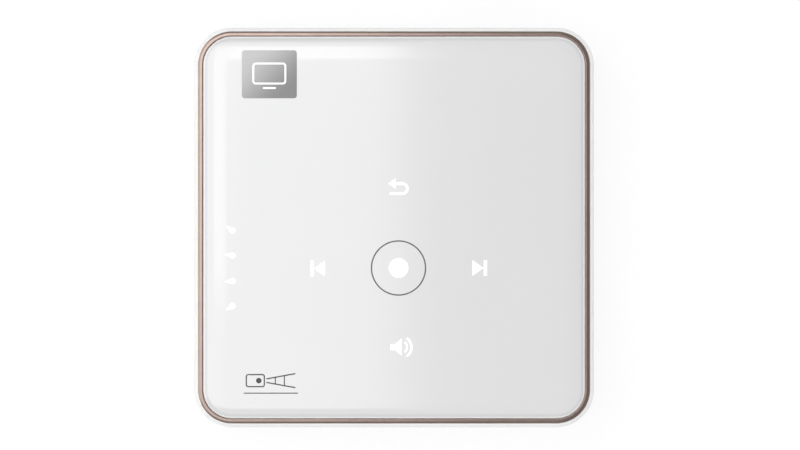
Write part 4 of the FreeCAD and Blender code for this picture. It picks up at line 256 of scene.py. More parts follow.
class Grain(Enum):
    """The fine relief of a surface."""

    POLISHED = "polished"
    SPARK = "spark-eroded mould"
    BRUSHED = "brushed"
    CAST = "die cast"
    CELLS = "foam cells"
    FIBRES = "pressed fibres"
    TURNED = "turned rings"


@dataclass(frozen=True)
class Layer:
    """One layer of a grain: its size as a share of the grain's size, and how much of it is added."""

    size: float = 1.0
    detail: float = 3.0
    stretch: Point = (1.0, 1.0, 1.0)
    weight: float = 1.0
    cells: bool = False

    def relief(self, recipe: Recipe, grain_size: float) -> Signal:
        """The layer's own relief.

        Args:
            recipe: the tree that it's built in.
            grain_size: the grain's size, in millimetres.

        Returns:
            The relief, from 0 to about the layer's weight.
        """
        size = grain_size * self.size
        made = recipe.cells(size) if self.cells else recipe.noise(size, self.detail, self.stretch)
        return made if self.weight == 1.0 else made * self.weight


LAYERS: dict[Grain, tuple[Layer, ...]] = {
    Grain.SPARK: (Layer(detail=4.0), Layer(size=0.4, detail=2.0, weight=0.5)),
    Grain.BRUSHED: (Layer(stretch=(0.04, 1.0, 1.0)),),
    Grain.CAST: (Layer(detail=6.0), Layer(size=2.5, weight=0.4, cells=True)),
    Grain.CELLS: (Layer(cells=True),),
    Grain.FIBRES: (Layer(detail=5.0, stretch=(1.0, 0.25, 1.0)), Layer(detail=5.0, stretch=(1.0, 1.0, 0.25))),
}


@dataclass(frozen=True)
class Accent:
    """A box of the surface with its own colour, such as a light source on its board."""

    middle: Point
    half: Point
    colour: Colour


@dataclass(frozen=True)
class Finish:
    """One material: a colour that wanders between two tones, its roughness and its fine relief.

    Sizes are in millimetres. What is the same all over is set on the shader's own sockets. The second tone sets
    in where the noise reaches tone_low and is full at tone_high. The roughness wanders by the spread, in patches
    that are smaller than the tone's by the smudge. Wander is how far noise bends a ring or a slope.
    """

    name: str
    colour: Colour
    shade: Colour
    roughness: float
    metallic: float = 0.0
    coat: float = 0.0
    coat_roughness: float = 0.03
    coat_ior: float = 1.5
    spread: float = 0.06
    patch: float = 9.0
    grain: Grain = Grain.POLISHED
    grain_size: float = 0.3
    relief: float = 0.002
    transmission: float = 0.0
    ior: float = 1.5
    glow: float = 0.0
    specular: float = 0.5
    accents: tuple[Accent, ...] = ()
    along: Point = (1.0, 1.0, 1.0)
    tone_detail: float = 3.0
    tone_low: float = 0.35
    tone_high: float = 0.75
    smudge: float = 0.4
    ripple: float = 14.0
    wander: float = 0.05
    wander_patch: float = 3.0

    def material(self) -> bpy.types.Material:
        """Makes the node material of this finish.

        Returns:
            The material.
        """
        made = bpy.data.materials.new(self.name)
        made.use_nodes = True
        recipe = Recipe(made.node_tree)
        tone = self.tone(recipe)
        for accent in self.accents:
            tone = recipe.mix(tone, accent.colour, recipe.in_box(accent.middle, accent.half))
        inputs = {
            "Base Color": tone,
            "Roughness": self.roughness_over(recipe),
            "Metallic": self.metallic,
            "Coat Weight": self.coat,
            "Coat Roughness": self.coat_roughness,
            "Coat IOR": self.coat_ior,
            "Transmission Weight": self.transmission,
            "IOR": self.ior,
            "Specular IOR Level": self.specular,
        }
        if self.glow:
            inputs |= {"Emission Color": tone, "Emission Strength": self.glow}
        height = self.height(recipe)
        if height is not None:
            bump = {"Height": height, "Distance": self.relief * MM, "Strength": 1.0}
            inputs["Normal"] = recipe.node("ShaderNodeBump", inputs=bump)
        shader = recipe.node("ShaderNodeBsdfPrincipled", inputs=inputs)
        recipe.node("ShaderNodeOutputMaterial", inputs={"Surface": shader})
        return made

    def tone(self, recipe: Recipe) -> Signal:
        """The base colour: the two tones mixed by slow noise."""
        share = recipe.noise(self.patch, self.tone_detail, self.along).above(self.tone_low, self.tone_high)
        return recipe.mix(self.colour, self.shade, share)

    def roughness_over(self, recipe: Recipe) -> Signal:
        """The roughness, which wanders by the spread."""
        return (recipe.noise(self.patch * self.smudge, detail=5.0) - 0.5) * (2 * self.spread) + self.roughness

    def height(self, recipe: Recipe) -> Signal | None:
        """The fine relief.

        Args:
            recipe: the tree that it's built in.

        Returns:
            The relief, from 0 to about 1, or None where the surface has none.
        """
        if not self.relief:
            return None
        if self.grain is Grain.POLISHED:
            return recipe.noise(self.ripple, detail=2.0)
        if self.grain is Grain.TURNED:
            return (recipe.axis("Y") + recipe.noise(self.wander_patch) * self.wander).repeat(self.grain_size)
        first, *others = [layer.relief(recipe, self.grain_size) for layer in LAYERS[self.grain]]
        return sum(others, start=first)


@dataclass(frozen=True)
class Moulded(Finish):
    """Plastic or rubber, with the fine relief of a spark-eroded mould."""

    grain: Grain = Grain.SPARK


@dataclass(frozen=True)
class Cast(Finish):
    """Cast or plated metal, with the fine relief of a casting."""

    metallic: float = 1.0
    grain: Grain = Grain.CAST


@dataclass(frozen=True)
class CaseShell(Moulded):
    """Gloss white moulding with a faint greying and rougher gloss where the case rubs on a table and in a bag."""

    rub_from: float = 2.4
    rub_to: float = 0.9
    edge_from: float = 36.5
    edge_to: float = 38.8
    rub_patch: float = 2.2
    rub_low: float = 0.45
    rub_high: float = 0.62
    rub_colour: Colour = (0.62, 0.61, 0.58)
    rub_share: float = 0.3
    rub_roughness: float = 0.22

    def tone(self, recipe: Recipe) -> Signal:
        """The two tones, and a grey film on the lowest edge, broken up by noise."""
        return recipe.mix(super().tone(recipe), self.rub_colour, self._rub(recipe) * self.rub_share)

    def roughness_over(self, recipe: Recipe) -> Signal:
        """Rougher where the edge rubs."""
        return super().roughness_over(recipe) + self._rub(recipe) * self.rub_roughness

    def _rub(self, recipe: Recipe) -> Signal:
        """The worn lower edge: low on the case and near its outline, so neither the walls nor the underside.

        Args:
            recipe: the tree that it's built in.

        Returns:
            1 where it rubs, 0 elsewhere.
        """
        low = recipe.axis("Z").above(self.rub_from, self.rub_to)
        out = recipe.axis("X").size().at_least(recipe.axis("Y").size()).above(self.edge_from, self.edge_to)
        return low * out * recipe.noise(self.rub_patch, detail=6.0).above(self.rub_low, self.rub_high)


@dataclass(frozen=True)
class PanelSkin(Finish):
    """Clear-fronted white panel with painted light at its edge: a thin grey line of painted shade and a white rim
    of painted highlight.

    Both follow the height of the curved border. Each starts at one height and is full at a lower one.
    """

    painted_shade_from: float = 21.42
    painted_shade_to: float = 21.30
    painted_shade_share: float = 0.5
    painted_shade_colour: Colour = (0.60, 0.61, 0.62)
    painted_highlight_from: float = 21.22
    painted_highlight_to: float = 21.14
    painted_highlight_colour: Colour = (0.96, 0.96, 0.955)

    def tone(self, recipe: Recipe) -> Signal:
        """The two tones, then the painted shade line and the painted highlight rim by the height of the curved
        border.

        Args:
            recipe: the tree that it's built in.

        Returns:
            The colour.
        """
        height = recipe.axis("Z")
        # Painted shade: a thin grey line where the curved border nears the edge. Painted highlight: a white rim
        # at the edge.
        edge = height.above(self.painted_shade_from, self.painted_shade_to) * self.painted_shade_share
        base = recipe.mix(super().tone(recipe), self.painted_shade_colour, edge)
        return recipe.mix(base, self.painted_highlight_colour, height.above(self.painted_highlight_from, self.painted_highlight_to))


@dataclass(frozen=True)
class SolderMask(Finish):
    """A circuit board: mask over copper tracks that run one way or the other in each block, with plated holes.

    Each pair of numbers is where a soft step starts and where it is full.
    """

    track: Colour = (0.07, 0.30, 0.15)
    track_pitch: float = 0.7
    track_step: tuple[float, float] = (0.28, 0.34)
    block: float = 6.0
    along_step: tuple[float, float] = (0.62, 0.64)
    across_step: tuple[float, float] = (0.42, 0.40)
    hole: Colour = (0.75, 0.60, 0.32)
    hole_pitch: float = 2.6
    hole_step: tuple[float, float] = (0.10, 0.08)
    mask_patch: float = 0.6
    mask_relief: float = 0.2

    def _tracks(self, recipe: Recipe) -> Signal:
        """The copper tracks: stripes one way in some blocks and the other way in others.

        Args:
            recipe: the tree that it's built in.

        Returns:
            1 on a track, 0 beside it.
        """
        choice = recipe.node("ShaderNodeSeparateColor", inputs={0: recipe.cells(self.block, "Color")})
        along, across = (
            recipe.axis(axis).repeat(self.track_pitch).above(*self.track_step) * choice.above(*step)
            for axis, step in (("Y", self.along_step), ("X", self.across_step))
        )
        return along.at_least(across)

    def tone(self, recipe: Recipe) -> Signal:
        """Mask, with lighter tracks and small plated holes."""
        base = recipe.mix(super().tone(recipe), self.track, self._tracks(recipe))
        return recipe.mix(base, self.hole, recipe.cells(self.hole_pitch).above(*self.hole_step))

    def height(self, recipe: Recipe) -> Signal:
        """The tracks stand up under the mask."""
        return self._tracks(recipe) + recipe.noise(self.mask_patch) * self.mask_relief


@dataclass(frozen=True)
class Streaked(Finish):
    """Drawn or bent metal: long streaks along one axis, lighter and darker."""

    metallic: float = 1.0
    along: Point = (0.03, 1.0, 1.0)
    tone_detail: float = 6.0
    tone_low: float = 0.3
    tone_high: float = 0.7

    def height(self, recipe: Recipe) -> Signal:
        """The streaks' relief."""
        return recipe.noise(self.grain_size, stretch=self.along)


@dataclass(frozen=True)
class CoatedGlass(Finish):
    """Ground and polished glass with a thin coating whose tint drifts slowly over its face."""

    roughness: float = 0.0
    relief: float = 0.0
    tone_detail: float = 1.0
    tone_low: float = 0.3
    tone_high: float = 0.7
    haze: float = 0.03
    haze_patch: float = 4.0

    def roughness_over(self, recipe: Recipe) -> Signal:
        """Clear, with the faintest haze."""
        return recipe.noise(self.haze_patch, detail=2.0) * self.haze


@dataclass(frozen=True)
class PaintedSheenLabel(Moulded):
    """A metallised label with a painted sheen: its tone runs from light to dark down a slope of its face."""

    middle: Place = (0.0, 0.0)
    reach: float = 8.0
    wander: float = 0.6
    wander_patch: float = 2.0

    def tone(self, recipe: Recipe) -> Signal:
        """Painted sheen: from the first tone at the upper left to the second at the lower right.

        Args:
            recipe: the tree that it's built in.

        Returns:
            The colour.
        """
        # Painted sheen: lighter towards the lamps at the upper left, darker away from them.
        slope = (recipe.axis("X") - self.middle[0]) - (recipe.axis("Y") - self.middle[1])
        share = (slope + recipe.noise(self.wander_patch) * self.wander).above(-self.reach, self.reach)
        return recipe.mix(self.colour, self.shade, share)


FINISHES: dict[str, Finish] = {
    "panel": PanelSkin("panel_white", (0.76, 0.76, 0.765), (0.77, 0.77, 0.77), 0.32, coat=1.0,
                       coat_roughness=0.085, coat_ior=1.9, specular=0.0, spread=0.03, patch=30.0, relief=0.0),
    "trim": Finish("rose_gold", (0.35, 0.270, 0.240), (0.325, 0.250, 0.220), 0.2, metallic=1.0, spread=0.05,
                   patch=6.0, grain=Grain.BRUSHED, grain_size=0.05, relief=0.0006),
    "case": CaseShell("case_white", (0.85, 0.85, 0.85), (0.83, 0.83, 0.825), 0.3, coat=0.7, coat_roughness=0.08,
                      patch=22.0, grain_size=0.25, relief=0.0012),
    "feet": Moulded("rubber_grey", (0.30, 0.30, 0.31), (0.24, 0.24, 0.25), 0.72, patch=3.0, grain_size=0.18,
                    relief=0.02),
    "bezel": Moulded("bezel_black", (0.012, 0.012, 0.014), (0.02, 0.02, 0.022), 0.16, coat=0.6, patch=7.0,
                     grain_size=0.3, relief=0.001),
    "lens_parts": Finish("lens_black", (0.02, 0.02, 0.021), (0.035, 0.034, 0.033), 0.55, patch=4.0,
                         grain=Grain.TURNED, grain_size=0.22, relief=0.006),
    "wheel": Moulded("wheel_grey", (0.27, 0.27, 0.28), (0.33, 0.33, 0.34), 0.45, patch=3.5, grain_size=0.2,
                     relief=0.008),
    "knob": Moulded("knob_white", (0.74, 0.74, 0.74), (0.69, 0.69, 0.68), 0.42, patch=2.5, grain_size=0.15,
                    relief=0.005),
    "optics": CoatedGlass("coated_glass", (0.93, 0.97, 0.95), (0.90, 0.90, 0.98), transmission=1.0, ior=1.6,
                          coat=0.4, patch=8.0),
    "splitter": CoatedGlass("splitting_coat", (0.62, 0.42, 0.80), (0.30, 0.66, 0.62), metallic=0.75, coat=0.5,
                            patch=9.0),
    "engine": Cast("die_cast", (0.24, 0.24, 0.25), (0.31, 0.31, 0.31), 0.48, metallic=0.9, patch=5.0,
                   grain_size=0.35, relief=0.02),
    "engine_cover": Streaked("lid_sheet", (0.60, 0.60, 0.61), (0.50, 0.50, 0.52), 0.32, patch=0.6,
                             grain_size=0.1, relief=0.003),
    "circuit": SolderMask("board_green", (0.025, 0.17, 0.075), (0.02, 0.14, 0.06), 0.28, coat=0.5, patch=12.0,
                          relief=0.03),
    "white_circuit": SolderMask("board_white", (0.74, 0.75, 0.73), (0.70, 0.71, 0.69), 0.35, coat=0.3,
                                patch=12.0, relief=0.03, track=(0.82, 0.82, 0.80), hole=(0.80, 0.66, 0.38)),
    "chips": Moulded("chip_black", (0.018, 0.018, 0.02), (0.03, 0.03, 0.032), 0.5, patch=2.0, grain_size=0.12,
                     relief=0.01),
    "connectors": Moulded("nylon_ivory", (0.78, 0.74, 0.62), (0.72, 0.67, 0.54), 0.45, patch=3.0,
                          grain_size=0.2, relief=0.006),
    "lamp_boards": Moulded("lamp_board", (0.70, 0.70, 0.66), (0.62, 0.62, 0.58), 0.4, patch=4.0, grain_size=0.2,
                           relief=0.006),
    "copper": Streaked("copper", (0.74, 0.38, 0.24), (0.58, 0.26, 0.15), 0.3, patch=1.6, grain_size=0.2,
                       relief=0.006, along=(1.0, 0.15, 1.0)),
    "fins": Streaked("fin_sheet", (0.74, 0.74, 0.75), (0.62, 0.62, 0.64), 0.3, patch=1.0, grain_size=0.15,
                     relief=0.004, along=(1.0, 1.0, 0.06)),
    "steel": Cast("zinc_steel", (0.56, 0.57, 0.58), (0.44, 0.45, 0.48), 0.34, patch=1.2, grain_size=0.12,
                  relief=0.006),
    "sockets": Streaked("nickel_sheet", (0.64, 0.64, 0.63), (0.60, 0.60, 0.595), 0.24, spread=0.03, patch=2.4,
                        grain_size=0.1, relief=0.002, along=(1.0, 0.08, 1.0)),
    "nut": Cast("brass", (0.78, 0.60, 0.28), (0.62, 0.45, 0.18), 0.28, patch=1.6, grain_size=0.1, relief=0.004),
    "cell": Streaked("pouch_foil", (0.70, 0.71, 0.73), (0.58, 0.59, 0.62), 0.36, patch=7.0, grain_size=2.5,
                     relief=0.05, along=(0.6, 1.0, 1.0)),
    "foam": Finish("foam_black", (0.03, 0.03, 0.03), (0.055, 0.055, 0.055), 0.9, patch=1.5, grain=Grain.CELLS,
                   grain_size=0.35, relief=0.12),
    "magnet": Finish("magnet_nickel", (0.60, 0.60, 0.62), (0.50, 0.50, 0.53), 0.15, metallic=1.0, patch=3.0),
    "cone": Finish("cone_paper", (0.035, 0.035, 0.04), (0.06, 0.06, 0.065), 0.7, patch=1.2, grain=Grain.FIBRES,
                   grain_size=0.3, relief=0.05),
    "guide": Finish("milky_clear", (0.86, 0.87, 0.88), (0.80, 0.82, 0.84), 0.2, coat=0.4, patch=10.0,
                    grain=Grain.CELLS, grain_size=0.5, relief=0.004),
    "key_lights": Finish("lamp_package", (0.90, 0.86, 0.62), (0.85, 0.78, 0.45), 0.4, patch=0.6),
    "fan": Moulded("fan_black", (0.022, 0.022, 0.024), (0.035, 0.035, 0.037), 0.42, patch=4.0, grain_size=0.25,
                   relief=0.006),
    "symbol": Finish("symbol_light", (1.0, 1.0, 1.0), (0.97, 0.98, 1.0), 0.4, glow=0.24, patch=3.0),
    "gauge": Finish("gauge_light", (1.0, 1.0, 1.0), (0.96, 0.98, 1.0), 0.5, glow=0.2, patch=1.0),
    "ink": Finish("ring_ink", (0.085, 0.085, 0.088), (0.12, 0.12, 0.12), 0.4, patch=1.4),
    "dark_ink": Finish("mark_ink", (0.045, 0.045, 0.05), (0.07, 0.07, 0.075), 0.4, patch=1.4),
    "badge": PaintedSheenLabel("badge_silver", (0.48, 0.48, 0.48), (0.22, 0.22, 0.22), 0.35, metallic=0.35, patch=4.0,
                     grain_size=0.2, relief=0.001, middle=BADGE_MIDDLE, reach=7.5),
    "gold": Finish("gold_contact", (0.85, 0.62, 0.25), (0.72, 0.50, 0.18), 0.25, metallic=1.0, patch=0.8),
    "tin": Cast("tinned_lead", (0.66, 0.66, 0.66), (0.52, 0.52, 0.53), 0.35, patch=0.6, grain_size=0.1,
                relief=0.004),
    "ceramic": Finish("ceramic_tan", (0.46, 0.33, 0.22), (0.36, 0.25, 0.16), 0.5, patch=0.8),
    "tape": Finish("amber_tape", (0.66, 0.34, 0.06), (0.56, 0.27, 0.04), 0.22, coat=0.4, patch=5.0,
                   grain=Grain.CAST, grain_size=1.2, relief=0.01),
    "tongue": Moulded("tongue_black", (0.02, 0.02, 0.022), (0.035, 0.035, 0.035), 0.5, patch=1.0,
                      grain_size=0.12, relief=0.006),
    "mesh_cloth": Finish("dust_mesh", (0.05, 0.05, 0.052), (0.09, 0.09, 0.09), 0.5, metallic=0.6, patch=0.6,
                         grain=Grain.CELLS, grain_size=0.28, relief=0.08),
}


class Wardrobe:
    """Makes each finish's material once and hands it out by name."""

    def __init__(self) -> None:
        """Starts with no material made."""
        self._made: dict[Finish, bpy.types.Material] = {}

    def get(self, name: str, accents: tuple[Accent, ...] = ()) -> bpy.types.Material:
        """The material of a finish, with accents if some are given.

        Args:
            name: a key of FINISHES.
            accents: boxes of another colour, for one node alone.

        Returns:
            The material.
        """
        finish = replace(FINISHES[name], accents=accents) if accents else FINISHES[name]
        if finish not in self._made:
            self._made[finish] = finish.material()
        return self._made[finish]


WARDROBE = Wardrobe()


# ---------------------------------------------------------------- meshes from grids


class Shell:
    """A mesh gathered from grids of points. All sizes that go in are in millimetres."""

    def __init__(self) -> None:
        """Starts empty."""
        self.points: list[np.ndarray] = []
        self.faces: list[list[int]] = []
        self.count = 0

    def grid(self, points: np.ndarray, loop_rows: bool = False, loop_columns: bool = False,
             caps: bool = False) -> "Shell":
        """Adds the quads between neighbours of a grid.

        Args:
            points: an array of rows by columns by three coordinates. Seen from outside, rows run up and columns
                run to the right.
            loop_rows: the last row joins the first.
            loop_columns: the last column joins the first.
            caps: the first and last rows are closed with one flat face each.

        Returns:
            This shell.
        """
        rows, columns = points.shape[:2]
        index = np.arange(rows * columns).reshape(rows, columns) + self.count
        lower = index if loop_rows else index[:-1]
        upper = np.roll(index, -1, axis=0) if loop_rows else index[1:]
        left = slice(None) if loop_columns else slice(0, columns - 1)
        corners = [lower, np.roll(lower, -1, axis=1), np.roll(upper, -1, axis=1), upper]
        quads = np.stack([c[:, left] for c in corners], axis=-1).reshape(-1, 4)
        self.faces += quads.tolist()
        if caps:
            self.faces += [index[0, ::-1].tolist(), index[-1].tolist()]
        self.points.append(points.reshape(-1, 3))
        self.count += rows * columns
        return self

    def bricks(self, middles: np.ndarray, half: Sequence[float], bevel: float = 0.12) -> "Shell":
        """Adds bevelled bricks of one size.

        Each brick is four rings of a four-cornered outline: the outline stands in by the bevel at the bottom and
        the top, and is full between them.

        Args:
            middles: n by three middles.
            half: the half sizes.
            bevel: the bevel, as a share of the smallest half size.

        Returns:
            This shell.
        """
        width, depth, height = half
        inset = bevel * min(half)
        turn = np.array([[-1, -1], [1, -1], [1, 1], [-1, 1]], float)
        rings = np.stack([
            lifted(turn * (width - drawn, depth - drawn), level)
            for drawn, level in ((inset, -height), (0.0, inset - height), (0.0, height - inset), (inset, height))
        ])
        for middle in middles:
            self.grid(rings + middle, loop_columns=True, caps=True)
        return self

    def plate(self, outline: np.ndarray, low: np.ndarray | float, high: np.ndarray | float) -> "Shell":
        """Adds a plate: a closed outline, counter-clockwise, carried from its low level to its high one."""
        return self.grid(np.stack([lifted(outline, low), lifted(outline, high)]), loop_columns=True, caps=True)

    def mesh(self, name: str) -> bpy.types.Mesh:
        """Makes the mesh.

        Args:
            name: its name.

        Returns:
            The mesh, in metres.
        """
        made = bpy.data.meshes.new(name)
        made.from_pydata((np.concatenate(self.points) * MM).tolist(), [], self.faces)
        made.validate()
        return made

    def piece(self, name: str, finish: str, slot: str, body: str = "case", sharp: float = 40.0,
              recalculate: bool = False) -> bpy.types.Object:
        """Makes the object, dresses it and lets it ride on its body.

        Args:
            name: the piece's name.
            finish: a key of FINISHES.
            slot: the record's material slot; not used.
            body: the CAD body that it moves with.
            sharp: edges that bend by more than this many degrees stay sharp.
            recalculate: the faces are turned outwards after their doubles are merged.

        Returns:
            The object.
        """
        mesh = self.mesh(name)
        if recalculate:
            work = bmesh.new()
            work.from_mesh(mesh)
            bmesh.ops.remove_doubles(work, verts=work.verts, dist=WELD)
            bmesh.ops.recalc_face_normals(work, faces=work.faces)
            work.to_mesh(mesh)
            work.free()
        mesh.shade_smooth()
        mesh.set_sharp_from_angle(angle=math.radians(sharp))
        mesh.materials.append(WARDROBE.get(finish))
        made = placed(name, mesh)
        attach(made, body)
        LOG.info("piece %-22s %6d faces, rides on %s", name, len(mesh.polygons), body)
        return made


def placed(name: str, data: bpy.types.ID) -> bpy.types.Object:
    """Puts an object of that mesh, lamp or camera in the scene.

    Args:
        name: its name.
        data: what it shows.

    Returns:
        The object.
    """
    made = bpy.data.objects.new(name, data)
    bpy.context.scene.collection.objects.link(made)
    return made


def lifted(outline: np.ndarray, level: np.ndarray | float) -> np.ndarray:
    """The outline's places with a height, one for all or one for each."""
    return np.column_stack([outline, np.broadcast_to(level, (len(outline),))])


def closed(outline: np.ndarray) -> np.ndarray:
    """The outline with its first place once more at its end."""
    return np.concatenate([outline, outline[:1]])


def polar(radius: float, angle: np.ndarray, middle: Place) -> np.ndarray:
    """Places at those angles: the middle plus the radius times cosine and sine."""
    return np.column_stack([np.cos(angle), np.sin(angle)]) * radius + np.asarray(middle)


def circle(radius: float, steps: int = 48, middle: Place = (0.0, 0.0)) -> np.ndarray:
    """A closed circle of that many points, counter-clockwise."""
    return polar(radius, np.linspace(0, 2 * np.pi, steps, endpoint=False), middle)


def arc(radius: float, start: float, end: float, middle: Place = (0.0, 0.0), steps: int = 24) -> np.ndarray:
    """Places along an arc, from its start angle to its end angle in degrees."""
    return polar(radius, np.radians(np.linspace(start, end, steps + 1)), middle)


@dataclass(frozen=True)
class Rounded:
    """A rounded rectangle: its full width and height, the radius of its corners and the steps of each corner."""

    width: float
    height: float
    corner: float
    steps: int = 12

    def outline(self, middle: Place = (0.0, 0.0)) -> np.ndarray:
        """Its closed outline, counter-clockwise.

        Each point is a corner's middle plus the corner radius times the direction of its angle; the angle runs a
        quarter turn in each corner, and the straight sides lie between the corners' last and first points.

        Args:
            middle: where the rectangle's middle is.

        Returns:
            An array of places.
        """
        quarter = np.linspace(0, np.pi / 2, self.steps + 1)
        angle = (np.arange(4)[:, None] * (np.pi / 2) + quarter[None, :]).ravel()
        sign = np.repeat(np.array([[1, 1], [-1, 1], [-1, -1], [1, -1]], float), self.steps + 1, axis=0)
        reach = np.array([self.width / 2 - self.corner, self.height / 2 - self.corner])
        return sign * reach + polar(self.corner, angle, middle)


def square_loops(half: float, corner: float, profile: np.ndarray, steps: int = 20) -> np.ndarray:
    """Loops of one rounded square, each drawn in by its own inset and set at its own level.

    Args:
        half: half the square's width.
        corner: radius of its corners.
        profile: n by two insets and levels, one for each loop.
        steps: steps of each corner.

    Returns:
        An array of n loops of places with their heights.
    """
    return np.stack([
        lifted(Rounded(2 * (half - inset), 2 * (half - inset), corner - inset, steps).outline(), level)
        for inset, level in profile
    ])


def divided(outline: np.ndarray, step: float = 0.5) -> np.ndarray:
    """The closed outline with more points: one at each corner, and others at even steps of its length.

    Args:
        outline: n by two places.
        step: length between the added points.

    Returns:
        The same outline with the points added.
    """
    ring = closed(outline)
    run = np.concatenate([[0.0], np.cumsum(np.linalg.norm(np.diff(ring, axis=0), axis=1))])
    places = np.union1d(run[:-1], np.arange(0.0, run[-1] - step / 2, step))
    return np.column_stack([np.interp(places, run, ring[:, 0]), np.interp(places, run, ring[:, 1])])


def drop(radius: float, tail: float, pinch: float = 0.35, steps: int = 28) -> np.ndarray:
    """A closed drop: a circle whose left side is drawn out to a tail, by the cube of how far left a point lies.

    Args:
        radius: the round end's radius.
        tail: how far the tail reaches beyond the circle.
        pinch: how much thinner it is at the tail, as a share of its height.
        steps: points round it.

    Returns:
        An array of places.
    """
    round_end = circle(radius, steps)
    left = np.maximum(-round_end[:, 0] / radius, 0.0)
    return round_end + np.column_stack([-tail * left**3, -pinch * left * round_end[:, 1]])


def arrow(tip: float, base: float, level: float, half: float) -> np.ndarray:
    """A closed triangle, counter-clockwise, that points along X from its base to its tip."""
    side = math.copysign(half, base - tip)
    return np.array([(tip, level), (base, level - side), (base, level + side)])


def leftward(path: np.ndarray) -> np.ndarray:
    """The direction square to the path on its left, at each of its places."""
    run = np.gradient(path, axis=0)
    return np.column_stack([-run[:, 1], run[:, 0]]) / np.linalg.norm(run, axis=1)[:, None]


def stroke(path: np.ndarray, width: float) -> np.ndarray:
    """The closed outline of a line: the path moved by half the width to its right, then back along its left."""
    side = leftward(path) * width / 2
    return np.concatenate([path - side, (path + side)[::-1]])


def turned(outline: np.ndarray, angle: float, middle: Place) -> np.ndarray:
    """The outline, which lies about the origin, turned by an angle in degrees and moved to its middle."""
    c, s = math.cos(math.radians(angle)), math.sin(math.radians(angle))
    return outline @ np.array([[c, s], [-s, c]]) + np.asarray(middle)


def ridge(turns: np.ndarray) -> np.ndarray:
    """A triangle wave, 0 at whole turns and 1 halfway between them."""
    return 1 - np.abs(2 * (turns % 1.0) - 1)


# ---------------------------------------------------------------- sub-assemblies


@dataclass
class PanelFace:
    """The touch panel's face, and how a thin plate or a line lies on it. Sizes in millimetres.

    A plate stands up by the film and reaches down by the sink. The drift moves what is drawn sideways.
    """

    half: float = 38.25
    corner: float = 5.85
    top: float = 21.98
    crown: float = 4.7
    crown_radius: float = 12.0
    film: float = 0.018
    sink: float = 0.01
    drift: float = -0.12

    def level(self, places: np.ndarray) -> np.ndarray:
        """Height of the panel's face at places on it.

        The distance in from the rounded-square rim gives how far the place is into the curved border; there the
        face drops by the crown's radius less the height of its arc.

        Args:
            places: an array whose last axis is x and y.

        Returns:
            The heights.
        """
        from_corner = np.abs(places) - (self.half - self.corner)
        outside = np.linalg.norm(np.maximum(from_corner, 0), axis=-1)
        inset = self.corner - outside - np.minimum(from_corner.max(axis=-1), 0)
        into = np.clip(self.crown - inset, 0, self.crown)
        return self.top - (self.crown_radius - np.sqrt(self.crown_radius**2 - into**2))

    def draw(self, name: str, finish: str, slot: str, *outlines: np.ndarray) -> None:
        """Makes one piece of thin plates that follow the face.

        Args:
            name: the piece's name.
            finish: a key of FINISHES.
            slot: the record's material slot.
            outlines: the plates' closed outlines, counter-clockwise.
        """
        shell = Shell()
        for outline in outlines:
            outline = outline + np.array([self.drift, 0.0])
            level = self.level(outline)
            shell.plate(outline, level - self.sink, level + self.film)
        shell.piece(name, finish, slot)


@dataclass
class TouchPanel(PanelFace):
    """The crowned touch panel itself, with a small rounded edge.

    The border's curve gives way to the edge where the crown has that share of the edge's radius left to run.
    """

    bottom: float = 20.4
    edge: float = 0.42
    edge_share: float = 0.62
    border_points: int = 28
    edge_points: int = 9

    def build(self) -> None:
        """The panel: loops of a rounded square, each at its own inset and level, from the foot to the flat.

        The border's arc is sampled evenly in slope. The edge is a small arc from the border's slope to upright.
        """
        steep = math.asin((self.crown - self.edge * self.edge_share) / self.crown_radius)
        contact = self.edge - self.edge * math.sin(steep)
        slopes = np.linspace(0, math.asin((self.crown - contact) / self.crown_radius), self.border_points)
        into = self.crown_radius * np.sin(slopes)
        border = np.column_stack([self.crown - into, self.top - self.crown_radius * (1 - np.cos(slopes))])
        tilt = np.linspace(slopes[-1], np.pi / 2, self.edge_points)[1:]
        centre = border[-1, 1] - self.edge * math.cos(slopes[-1])
        edge = np.column_stack([self.edge * (1 - np.sin(tilt)), centre + self.edge * np.cos(tilt)])
        profile = np.concatenate([border, edge, [[0.0, self.bottom]]])[::-1]
        loops = square_loops(self.half, self.corner, profile)
        made = Shell().grid(loops, loop_columns=True, caps=True).piece("panel_skin", "panel", "panel")
        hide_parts("touch_panel")


@dataclass(frozen=True)
class Skip:
    """A skip symbol: an arrow that points at a bar, given by their places across the panel and their level."""

    name: str
    level: float
    bar: float
    tip: float
    base: float


